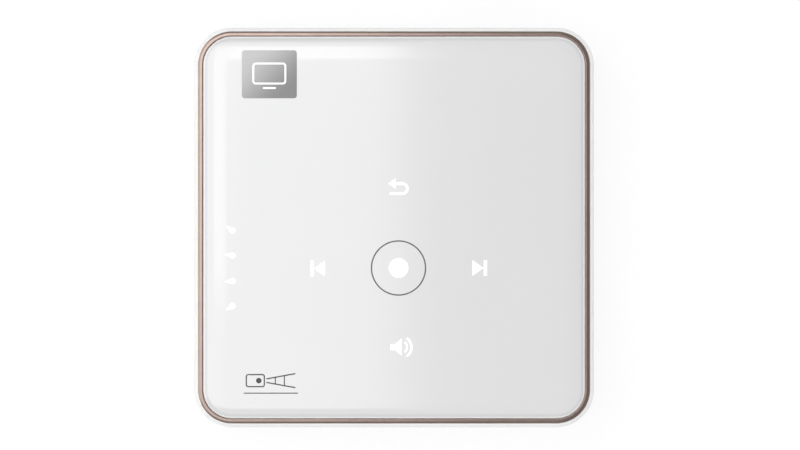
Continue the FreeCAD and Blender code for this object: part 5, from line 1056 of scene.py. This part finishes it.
@dataclass
class KeySymbols(PanelFace):
    """The dark ring, the lit symbols of the touch keys and the charge marks. Angles are in degrees.

    Each wave of the loudness symbol has its radius, how far it reaches up and down, and its line's width.
    """

    key: Place = (1.0, -8.1)
    ring_radius: float = 5.4
    ring_line: float = 0.26
    ring_steps: int = 96
    dot_radius: float = 1.95
    dot_steps: int = 64
    bend_middle: Place = (1.75, 7.76)
    bend_radius: float = 1.0
    back_tip: float = -1.0
    back_base: float = 0.42
    back_half: float = 1.04
    back_end: float = -0.75
    back_line: float = 0.52
    skips: tuple[Skip, ...] = (
        Skip("previous_symbol", level=-8.2, bar=-16.25, tip=-15.85, base=-13.7),
        Skip("next_symbol", level=-8.1, bar=18.35, tip=17.95, base=15.75),
    )
    bar: Rounded = Rounded(0.66, 3.1, 0.12)
    skip_half: float = 1.55
    horn: tuple[Place, ...] = (
        (-0.6, -24.5), (0.35, -24.5), (1.6, -25.6), (1.6, -22.2), (0.35, -23.3), (-0.6, -23.3))
    wave_middle: Place = (1.45, -23.9)
    waves: tuple[tuple[float, float, float], ...] = ((1.25, 52.0, 0.36), (2.15, 56.0, 0.42))
    mark_x: float = -32.2
    mark_y: tuple[float, ...] = (-0.6, -5.6, -10.7, -15.7)
    mark_turn: tuple[float, ...] = (-35.0, -8.0, 6.0, 32.0)
    mark_radius: float = 0.62
    mark_tail: float = 0.9

    def ring(self) -> None:
        """The thin dark ring round the middle key: a small rectangle carried round a circle."""
        middle = (self.key[0] + self.drift, self.key[1])
        inner = circle(self.ring_radius - self.ring_line / 2, self.ring_steps, middle)
        outer = circle(self.ring_radius + self.ring_line / 2, self.ring_steps, middle)
        low, high = self.top - self.sink, self.top + self.film
        rows = [lifted(inner, low), lifted(outer, low), lifted(outer, high), lifted(inner, high)]
        Shell().grid(np.stack(rows), loop_rows=True, loop_columns=True).piece("key_ring", "ink", "panel")

    def back(self) -> list[np.ndarray]:
        """The back symbol: a line that bends round below, and the arrow at its upper end.

        Returns:
            Their outlines.
        """
        upper, lower = self.bend_middle[1] + self.bend_radius, self.bend_middle[1] - self.bend_radius
        bend = arc(self.bend_radius, 90, -90, self.bend_middle)
        path = np.concatenate([[[self.back_base, upper]], bend, [[self.back_end, lower]]])
        return [stroke(path, self.back_line), arrow(self.back_tip, self.back_base, upper, self.back_half)]

    def loudness(self) -> list[np.ndarray]:
        """The loudness symbol: a horn and its waves."""
        arcs = [(arc(radius, -reach, reach, self.wave_middle), width) for radius, reach, width in self.waves]
        return [np.array(self.horn), *(stroke(path, width) for path, width in arcs)]

    def charge_marks(self) -> list[np.ndarray]:
        """The four charge marks: small drops of light, each turned its own way."""
        mark = drop(self.mark_radius, self.mark_tail)
        return [turned(mark, turn, (self.mark_x, y)) for y, turn in zip(self.mark_y, self.mark_turn)]

    def build(self) -> None:
        """The ring, then each lit symbol as one piece: middle key, back, previous, next, loudness and charge."""
        self.ring()
        self.draw("middle_key_dot", "symbol", "key_lights", circle(self.dot_radius, self.dot_steps, self.key))
        self.draw("back_symbol", "symbol", "key_lights", *self.back())
        for skip in self.skips:
            bar = self.bar.outline((skip.bar, skip.level))
            pointer = arrow(skip.tip, skip.base, skip.level, self.skip_half)
            self.draw(skip.name, "symbol", "key_lights", bar, pointer)
        self.draw("loudness_symbol", "symbol", "key_lights", *self.loudness())
        self.draw("charge_marks", "gauge", "key_lights", *self.charge_marks())


@dataclass
class Badge(PanelFace):
    """A silver badge that follows the panel's curve, with a plain drawing of a screen on its stand."""

    middle: Place = BADGE_MIDDLE
    plate: Rounded = Rounded(11.0, 9.6, 0.6, 8)
    loops: int = 20
    smallest: float = 0.02
    lift: float = 0.009
    skirt: float = 0.02
    screen: Rounded = Rounded(6.4, 4.0, 0.5, 8)
    screen_up: float = 0.15
    screen_line: float = 0.34
    stand: Rounded = Rounded(2.6, 0.34, 0.16, 4)
    stand_down: float = 2.75

    def build(self) -> None:
        """The badge: a fan of shrunken copies of its outline, so that its face has points to bend by."""
        x, y = self.middle
        outline = divided(self.plate.outline())
        share = np.maximum(np.linspace(1.0, 0.0, self.loops), self.smallest)[:, None, None]
        flat = outline[None] * share + np.array([x, y]) + np.array([self.drift, 0.0])
        face = np.concatenate([flat, (self.level(flat) + self.lift)[..., None]], axis=-1)
        rows = np.concatenate([face[:1] - np.array([0.0, 0.0, self.skirt]), face])
        Shell().grid(rows, loop_columns=True, caps=True).piece("badge", "badge", "trim")
        screen = stroke(closed(self.screen.outline((x, y + self.screen_up))), self.screen_line)
        # The screen drawing takes the glowing symbol finish: a painted glow, with no lamp behind the badge.
        self.draw("badge_screen", "symbol", "trim", screen, self.stand.outline((x, y - self.stand_down)))


@dataclass
class SmallMark(PanelFace):
    """A small generic drawing of a beam from a box above a thin line, at the lower left.

    Each end of the beam is its place across the panel and half its height there.
    """

    box: Rounded = Rounded(3.6, 2.4, 0.4, 6)
    box_middle: Place = (-27.6, -30.6)
    lens_x: float = -26.9
    lens_radius: float = 0.55
    lens_steps: int = 28
    beam_start: Place = (-25.4, 0.35)
    beam_end: Place = (-19.6, 1.4)
    rungs: tuple[float, ...] = (-23.6, -21.8)
    rung_reach: float = 0.3
    rung_growth: float = 0.19
    rule_ends: tuple[Place, Place] = ((-29.9, -33.1), (-19.1, -33.1))
    thick: float = 0.24
    thin: float = 0.2
    beam_points: int = 6
    rung_points: int = 5

    def build(self) -> None:
        """The box and its lens, the beam's two sides, the rungs across it and the line below."""
        level, start = self.box_middle[1], self.beam_start[0]
        outlines = [
            stroke(closed(self.box.outline(self.box_middle)), self.thick),
            circle(self.lens_radius, self.lens_steps, (self.lens_x, level)),
        ]
        for side in (1, -1):
            ends = [(x, level + side * half) for x, half in (self.beam_start, self.beam_end)]
            outlines.append(stroke(np.linspace(*ends, self.beam_points), self.thick))
        for x in self.rungs:
            reach = self.rung_reach + self.rung_growth * (x - start)
            rung = np.linspace((x, level - reach), (x, level + reach), self.rung_points)
            outlines.append(stroke(rung, self.thin))
        outlines.append(stroke(np.linspace(*self.rule_ends, self.beam_points), self.thin))
        self.draw("small_mark", "dark_ink", "panel", *outlines)


@dataclass
class TrimHoop:
    """The bevelled hoop round the panel. Sizes in millimetres, slopes in degrees."""

    half: float = 39.2
    corner: float = 6.8
    width: float = 0.93
    roll: float = 0.05
    inner: float = 0.14
    bottom: float = 19.9
    crest: float = 21.3
    gentle: float = 25.0
    steep: float = 68.0
    roll_points: int = 6
    face_points: int = 13
    inner_points: int = 8

    def build(self) -> None:
        """The hoop: three arcs on two short walls, carried round a rounded square.

        The slope runs from steep to gentle over the roll, from gentle to level up to the crest, and from level to
        steep over the inner edge. An arc's radius is its width over the difference of its slopes' sines.
        """
        gentle, steep = math.radians(self.gentle), math.radians(self.steep)
        crest_at = self.width - self.inner
        roll_radius = self.roll / (math.sin(steep) - math.sin(gentle))
        face_radius = (crest_at - self.roll) / math.sin(gentle)
        inner_radius = self.inner / math.sin(steep)
        foot = self.crest - face_radius * (1 - math.cos(gentle))
        turn = np.linspace(steep, gentle, self.roll_points)
        fall = np.linspace(gentle, 0.0, self.face_points)[1:]
        sink = np.linspace(0.0, steep, self.inner_points)[1:]
        inset = np.concatenate([
            [0.0], roll_radius * (math.sin(steep) - np.sin(turn)), crest_at - face_radius * np.sin(fall),
            crest_at + inner_radius * np.sin(sink), [self.width]])
        level = np.concatenate([
            [self.bottom], foot - roll_radius * (math.cos(gentle) - np.cos(turn)),
            self.crest - face_radius * (1 - np.cos(fall)), self.crest - inner_radius * (1 - np.cos(sink)),
            [self.bottom]])
        loops = square_loops(self.half, self.corner, np.column_stack([inset, level]))
        made = Shell().grid(loops, loop_rows=True, loop_columns=True).piece("trim_hoop", "trim", "trim")
        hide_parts("trim_ring")


@dataclass
class TripodNut:
    """The knurled brass nut with its thread cut. Sizes in millimetres.

    The thread lies between the core's and the root's radius. The mouth below is wider than the root by the play.
    """

    bottom: float = 0.8
    top: float = 6.4
    outer: float = 4.5
    core: float = 2.55
    root: float = 3.12
    mouth: float = 0.5
    play: float = 0.35
    pitch: float = 1.27
    groove: float = 0.5
    groove_half: float = 0.7
    knurl: float = 0.12
    ridges: int = 36
    edge: float = 0.3
    steps: int = 72
    thread_rows: int = 90
    side_rows: int = 30
    sharp: float = 25.0

    def build(self) -> None:
        """The nut: a closed profile carried round the axis.

        Inside, the radius follows a triangle wave of the height less the turn's share of the pitch, which makes
        the thread; it ends above the mouth. Outside is a shallow knurl with a holding groove round the middle.
        """
        angle = np.linspace(0, 2 * np.pi, self.steps, endpoint=False)[None, :]
        share = angle / (2 * np.pi)
        inside = np.linspace(self.bottom + self.mouth, self.top, self.thread_rows)[:, None]
        bore = self.core + (self.root - self.core) * ridge(inside / self.pitch - share)
        outside = np.linspace(self.top, self.bottom, self.side_rows)[:, None]
        waist = self.groove * (np.abs(outside - (self.top + self.bottom) / 2) < self.groove_half)
        body = self.outer - self.knurl * ridge(share * self.ridges) - waist
        body[0] = body[-1] = self.outer - self.edge
        radius = np.concatenate([np.full((1, self.steps), self.root + self.play), bore, body])
        height = np.concatenate([[[self.bottom]], inside, outside]) + np.zeros_like(radius)
        points = np.stack([radius * np.cos(angle), radius * np.sin(angle), height], axis=-1)[::-1]
        made = Shell().grid(points, loop_rows=True, loop_columns=True).piece(
            "tripod_nut_threaded", "nut", "nut", sharp=self.sharp, recalculate=True)
        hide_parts("tripod_nut")


@dataclass
class Socket:
    """A socket's tongue contacts. Sizes in millimetres."""

    name: str
    x: float
    z: float
    width: float
    count: int
    half: Point
    rows: tuple[float, ...]
    front: float = -38.3

    def build(self) -> None:
        """Gold contacts side by side on the tongue: one brick each, evenly spaced."""
        across = np.linspace(-self.width / 2, self.width / 2, self.count) + self.x
        contacts = Shell()
        for row in self.rows:
            places = np.column_stack([across, np.full(self.count, self.front + self.half[1])])
            contacts.bricks(lifted(places, self.z + row), self.half)
        contacts.piece(f"{self.name}_contacts", "gold", "sockets")


@dataclass(frozen=True)
class Chip:
    """A chip on the main board, with its leads on each side."""

    x: float
    y: float
    width: float
    depth: float
    leads: int


@dataclass
class BoardTrifles:
    """The small parts of the main board: chip leads, ceramic blocks and their tinned ends. Sizes in millimetres.

    Each row of blocks over or under the board has its first block's place and how many it holds.
    """

    top: float = 10.8
    bottom: float = 9.6
    chips: tuple[Chip, ...] = (
        Chip(-5.0, -17.0, 13.0, 13.0, 16), Chip(11.0, -17.0, 11.0, 11.0, 14), Chip(-19.0, -12.0, 8.0, 11.0, 12),
        Chip(-19.0, -21.5, 8.0, 6.0, 7), Chip(21.0, -19.0, 5.0, 5.0, 5))
    over: tuple[tuple[float, float, int], ...] = (
        (-12.0, -25.4, 9), (5.0, -24.4, 7), (-13.2, -7.0, 3), (2.5, -9.2, 1), (16.4, -9.4, 2), (17.6, -23.6, 5),
        (-24.6, -6.6, 6))
    under: tuple[tuple[float, float, int], ...] = (
        (-10.0, -14.0, 9), (-10.0, -18.0, 9), (7.0, -15.0, 7), (7.0, -19.0, 7))
    lead_half: Point = (0.14, 0.3, 0.06)
    lead_span: float = 0.42
    lead_out: float = 0.22
    lead_up: float = 0.07
    block_half: Point = (0.27, 0.32, 0.25)
    block_pitch: float = 1.25
    block_up: float = 0.26
    end_half: Point = (0.28, 0.12, 0.26)
    end_out: float = 0.42
    sharp: float = 30.0

    def leads(self) -> None:
        """The leads round each chip: evenly spaced along each side, and a little outside it."""
        shell = Shell()
        for chip in self.chips:
            for along, size in ((0, (chip.width, chip.depth)), (1, (chip.depth, chip.width))):
                run = np.linspace(-self.lead_span, self.lead_span, chip.leads) * size[0]
                turn = [0, 1, 2] if along == 0 else [1, 0, 2]
                for side in (-1, 1):
                    out = np.full(chip.leads, side * (size[1] / 2 + self.lead_out))
                    places = lifted(np.column_stack([run, out]), self.top + self.lead_up)[:, turn]
                    shell.bricks(places + np.array([chip.x, chip.y, 0.0]), np.array(self.lead_half)[turn])
        shell.piece("chip_leads", "tin", "chips", sharp=self.sharp)

    def blocks(self) -> None:
        """Rows of ceramic blocks with tinned ends on both faces of the board."""
        blocks, ends = Shell(), Shell()
        for rows, level in ((self.over, self.top + self.block_up), (self.under, self.bottom - self.block_up)):
            for x, y, count in rows:
                across = x + self.block_pitch * np.arange(count)
                places = lifted(np.column_stack([across, np.full(count, y)]), level)
                blocks.bricks(places, self.block_half)
                for side in (-1, 1):
                    ends.bricks(places + np.array([0.0, self.end_out * side, 0.0]), self.end_half)
        blocks.piece("ceramic_blocks", "ceramic", "chips", sharp=self.sharp)
        ends.piece("block_ends", "tin", "chips", sharp=self.sharp)

    def build(self) -> None:
        """Builds the leads, then the blocks."""
        self.leads()
        self.blocks()


@dataclass
class BatteryTape:
    """The tape folded over the battery's right end. Sizes in millimetres."""

    end: float = 28.0
    middle_y: float = -21.0
    half_depth: float = 12.8
    bottom: float = 2.8
    top: float = 8.3
    bend: float = 1.6
    reach: float = 5.0
    gap: float = 0.01
    outside: float = 0.07
    bend_steps: int = 8

    def build(self) -> None:
        """A band of even thickness bent over the end's profile: a flat, two quarter arcs and a flat."""
        inside = self.end - self.bend
        low = arc(self.bend, -90, 0, (inside, self.bottom + self.bend), self.bend_steps)
        high = arc(self.bend, 0, 90, (inside, self.top - self.bend), self.bend_steps)
        start = self.end - self.reach
        run = np.concatenate([[[start, self.bottom]], low, high, [[start, self.top]]])
        outward = -leftward(run)
        section = np.concatenate([run + outward * self.outside, (run + outward * self.gap)[::-1]])
        depth = np.linspace(-self.half_depth, self.half_depth, 3) + self.middle_y
        points = np.stack([
            np.column_stack([section[:, 0], np.full(len(section), y), section[:, 1]]) for y in depth])
        Shell().grid(points, loop_columns=True, caps=True).piece("battery_tape", "tape", "cell", recalculate=True)


@dataclass
class SpeakerMesh:
    """The fine dust mesh behind the speaker grille. Sizes in millimetres."""

    shape: Rounded = Rounded(19.6, 8.6, 4.2, 10)
    middle: Place = (-19.0, 11.4)
    faces: tuple[float, float] = (38.25, 38.32)

    def build(self) -> None:
        """A thin plate with rounded ends, just inside the wall."""
        outline = self.shape.outline(self.middle)
        rows = np.stack([np.column_stack([np.full(len(outline), x), outline]) for x in self.faces])
        Shell().grid(rows, loop_columns=True, caps=True).piece(
            "speaker_mesh", "mesh_cloth", "cone", recalculate=True)


SOCKETS = (
    Socket("video", x=3.0, z=13.9, width=9.6, count=10, half=(0.22, 4.2, 0.05), rows=(-0.68, 0.68)),
    Socket("memory_stick", x=18.0, z=14.9, width=7.0, count=4, half=(0.55, 4.8, 0.05), rows=(-0.93,)),
    Socket("charging", x=-10.5, z=12.7, width=2.6, count=5, half=(0.17, 1.4, 0.04), rows=(-0.33, 0.33)),
)


class Cad:
    """Dresses the solids that are shown as they are."""

    ACCENTS: dict[str, tuple[Accent, ...]] = {
        "green_lamp": (Accent((-9.9, 13.0, 10.2), (0.9, 2.05, 2.05), (0.35, 0.75, 0.25)),),
        "red_blue_lamp": (Accent((-1.0, 22.0, 10.2), (2.05, 0.9, 2.05), (0.75, 0.25, 0.22)),),
        "mirror_chip": (Accent((20.3, 7.6, 10.2), (4.05, 0.9, 2.55), (0.10, 0.09, 0.13)),),
        "video_socket": (Accent((3.0, -33.0, 13.9), (5.72, 5.6, 0.67), (0.02, 0.02, 0.022)),),
        "usb_socket": (Accent((18.0, -32.0, 14.9), (5.52, 6.6, 0.92), (0.80, 0.80, 0.80)),),
        "charge_socket": (Accent((-10.5, -36.5, 12.7), (2.02, 2.2, 0.32), (0.02, 0.02, 0.022)),),
        "speaker_cone": (Accent((37.6, -19.0, 11.4), (0.35, 7.4, 3.0), (0.10, 0.10, 0.11)),),
    }

    def dress(self) -> None:
        """Puts each node's finish, by its slot in the record, on its object."""
        slots = {row["node"]: row["material_slot"] for row in frame["record"]["subparts"]}
        for name, node in frame["nodes"].items():
            material = WARDROBE.get(slots[name], self.ACCENTS.get(name, ()))
            for place in node.material_slots:
                place.material = material
            if not node.material_slots:
                node.data.materials.append(material)
            LOG.info("node  %-22s takes %s", name, material.name)


# ---------------------------------------------------------------- studio


def hang_lamp(name: str, size: Place, radiance: float, place: Point) -> bpy.types.Object:
    """Adds a rectangular lamp that the camera doesn't see; its power is its radiance times pi times its area.

    Args:
        name: its name.
        size: its width and depth, in metres.
        radiance: how bright its face is.
        place: where its middle is.

    Returns:
        The lamp, facing straight down.
    """
    data = bpy.data.lights.new(name, "AREA")
    data.shape = "RECTANGLE"
    data.size, data.size_y = size
    data.energy = radiance * math.pi * size[0] * size[1]
    lamp = placed(name, data)
    lamp.location = place
    lamp.visible_camera = False
    LOG.info("lamp  %s", name)
    return lamp


@dataclass(frozen=True)
class SoftBox:
    """A rectangular lamp above the case, given by the slopes of the rays from the case to its edges.

    Lamps that overlap hang at different heights, because of two at one height a ray would see only one.
    """

    name: str
    left: float
    right: float
    near: float
    far: float
    height: float
    radiance: float
    mirrored: bool = True
    lights: bool = True

    def build(self) -> None:
        """The lamp. One that isn't mirrored only fills; one that doesn't light is only seen in shiny things."""
        size = ((self.right - self.left) * self.height, (self.far - self.near) * self.height)
        middle = ((self.left + self.right) / 2 * self.height, (self.near + self.far) / 2 * self.height)
        lamp = hang_lamp(self.name, size, self.radiance, (*middle, self.height))
        lamp.visible_glossy = self.mirrored
        lamp.visible_diffuse = self.lights


@dataclass(frozen=True)
class LowBox:
    """An upright lamp beside the case, facing it across the table. Its azimuth is in degrees from +X."""

    name: str
    azimuth: float
    radiance: float
    distance: float = 1.2
    width: float = 1.1
    low: float = 0.04
    high: float = 1.1

    def build(self) -> None:
        """The lamp, turned upright and towards the case."""
        angle = math.radians(self.azimuth)
        place = (self.distance * math.cos(angle), self.distance * math.sin(angle), (self.low + self.high) / 2)
        lamp = hang_lamp(self.name, (self.width, self.high - self.low), self.radiance, place)
        lamp.rotation_euler = (math.pi / 2, 0.0, angle + math.pi / 2)


@dataclass(frozen=True)
class FloorPaper:
    """The floor's matt white paper, which the camera sees lifted to white and which keeps its shadow."""

    name: str = "floor_white"
    tones: tuple[Colour, Colour] = ((0.82, 0.82, 0.82), (0.84, 0.84, 0.84))
    patch: float = 40.0
    mottle: tuple[float, float] = (0.2, 0.8)
    glow: float = 1.05
    glow_share: float = 0.82

    def material(self) -> bpy.types.Material:
        """Makes the paper's node material, which is clear from below.

        Returns:
            The material.
        """
        made = bpy.data.materials.new(self.name)
        made.use_nodes = True
        recipe = Recipe(made.node_tree)
        tone = recipe.mix(*self.tones, recipe.noise(self.patch, detail=4.0).above(*self.mottle))
        matt = recipe.node("ShaderNodeBsdfDiffuse", inputs={"Color": tone})
        lit = recipe.node("ShaderNodeEmission", inputs={"Color": WHITE, "Strength": self.glow})
        seen = recipe.ray("Camera").at_least(recipe.ray("Glossy")).at_least(recipe.ray("Transmission"))
        top = recipe.node("ShaderNodeMixShader", inputs={0: seen * self.glow_share, 1: matt, 2: lit})
        below = recipe.node("ShaderNodeBsdfTransparent")
        behind = recipe.node("ShaderNodeNewGeometry", out="Backfacing")
        both = recipe.node("ShaderNodeMixShader", inputs={0: behind, 1: top, 2: below})
        recipe.node("ShaderNodeOutputMaterial", inputs={"Surface": both})
        return made


@dataclass
class Studio:
    """Camera, lamps, sky and floor. Lengths in metres, those of the floor in millimetres.

    The sky whitens as a ray comes down from one rise to a lower one: haze has them, and sheen for a mirrored ray.
    """

    view_width: float = 0.1598
    camera_height: float = 1.2
    aim: Place = (0.00118, 0.00049)
    sensor: float = 36.0
    clip: tuple[float, float] = (0.01, 50.0)
    panel_top: float = 0.022
    sky: float = 0.4
    haze: tuple[float, float] = (0.62, 0.08)
    sheen: tuple[float, float] = (0.8, 0.1)
    floor_half: float = 6000.0
    floor_level: float = -0.01
    floor_points: int = 5
    boxes: tuple[SoftBox | LowBox, ...] = (
        SoftBox("wide_box", -0.72, 0.002, -0.36, 0.72, 1.0, 1.25),
        SoftBox("left_strip", -0.52, -0.078, -0.36, 0.53, 0.97, 1.25, mirrored=False),
        SoftBox("left_sheen", -0.52, -0.078, -0.03, 0.53, 0.91, 0.85, lights=False),
        SoftBox("top_strip", -0.078, 0.002, 0.078, 0.53, 0.94, 1.25),
        SoftBox("near_sheen", -0.72, 0.002, -0.55, -0.36, 1.0, 1.25, lights=False),
        SoftBox("edge_strip", -1.25, -0.70, -0.36, 0.72, 1.1, 1.1, lights=False),
        SoftBox("fill_box", -0.60, 0.60, -0.60, 0.60, 1.2, 0.4, mirrored=False),
        LowBox("low_left_box", 180.0, 0.6),
        LowBox("low_near_box", -90.0, 0.4),
        LowBox("low_right_box", 0.0, 0.4),
    )

    def camera(self) -> None:
        """A long lens that looks straight down, with the panel's top filling the frame at its scale."""
        data = bpy.data.cameras.new("top_camera")
        distance = self.camera_height - self.panel_top
        data.sensor_width = self.sensor
        data.lens = self.sensor * distance / self.view_width
        data.clip_start, data.clip_end = self.clip
        camera = placed("top_camera", data)
        camera.location = (*self.aim, self.camera_height)
        bpy.context.scene.camera = camera

    def lamps(self) -> None:
        """The soft boxes overhead and the low ones beside the case."""
        for box in self.boxes:
            box.build()

    def world(self) -> None:
        """A pale sky, dimmer overhead. The camera and clear things see it white, shiny things only low down."""
        world = bpy.data.worlds.new("studio_sky")
        world.use_nodes = True
        bpy.context.scene.world = world
        recipe = Recipe(world.node_tree)
        direction = recipe.node("ShaderNodeTexCoord", out="Generated")
        rise = recipe.node("ShaderNodeSeparateXYZ", inputs={0: direction}, out="Z")
        low = rise.above(*self.haze).at_least(recipe.ray("Glossy") * rise.above(*self.sheen))
        white = recipe.ray("Camera").at_least(recipe.ray("Transmission")).at_least(low)
        dim, bright = (
            recipe.node("ShaderNodeBackground", inputs={"Color": WHITE, "Strength": strength})
            for strength in (self.sky, 1.0)
        )
        mixed = recipe.node("ShaderNodeMixShader", inputs={0: white, 1: dim, 2: bright})
        recipe.node("ShaderNodeOutputWorld", inputs={"Surface": mixed})

    def floor(self) -> None:
        """A wide white floor just under the feet."""
        reach = np.linspace(-self.floor_half, self.floor_half, self.floor_points)
        x, y = np.meshgrid(reach, reach)
        mesh = Shell().grid(np.stack([x, y, np.full_like(x, self.floor_level)], axis=-1)).mesh("floor")
        mesh.materials.append(FloorPaper().material())
        made = placed("floor", mesh)
        made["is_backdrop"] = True

    def build(self) -> None:
        """Sets the view transform and builds the studio."""
        bpy.context.scene.view_settings.view_transform = "Standard"
        self.camera()
        self.lamps()
        self.world()
        self.floor()


def corners() -> list[list[float]]:
    """The shown object's lowest and highest corners as plain lists."""
    return [[float(v) for v in corner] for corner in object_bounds()]


def main() -> None:
    logging.basicConfig(level=logging.INFO, format="%(message)s")
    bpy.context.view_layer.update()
    Studio().build()
    Cad().dress()
    assemblies = (
        TouchPanel(), KeySymbols(), Badge(), SmallMark(), TrimHoop(), TripodNut(), *SOCKETS, BoardTrifles(),
        BatteryTape(), SpeakerMesh(),
    )
    for assembly in assemblies:
        assembly.build()
    LOG.info("visual box %s", corners())


if __name__ == "__main__":
    main()
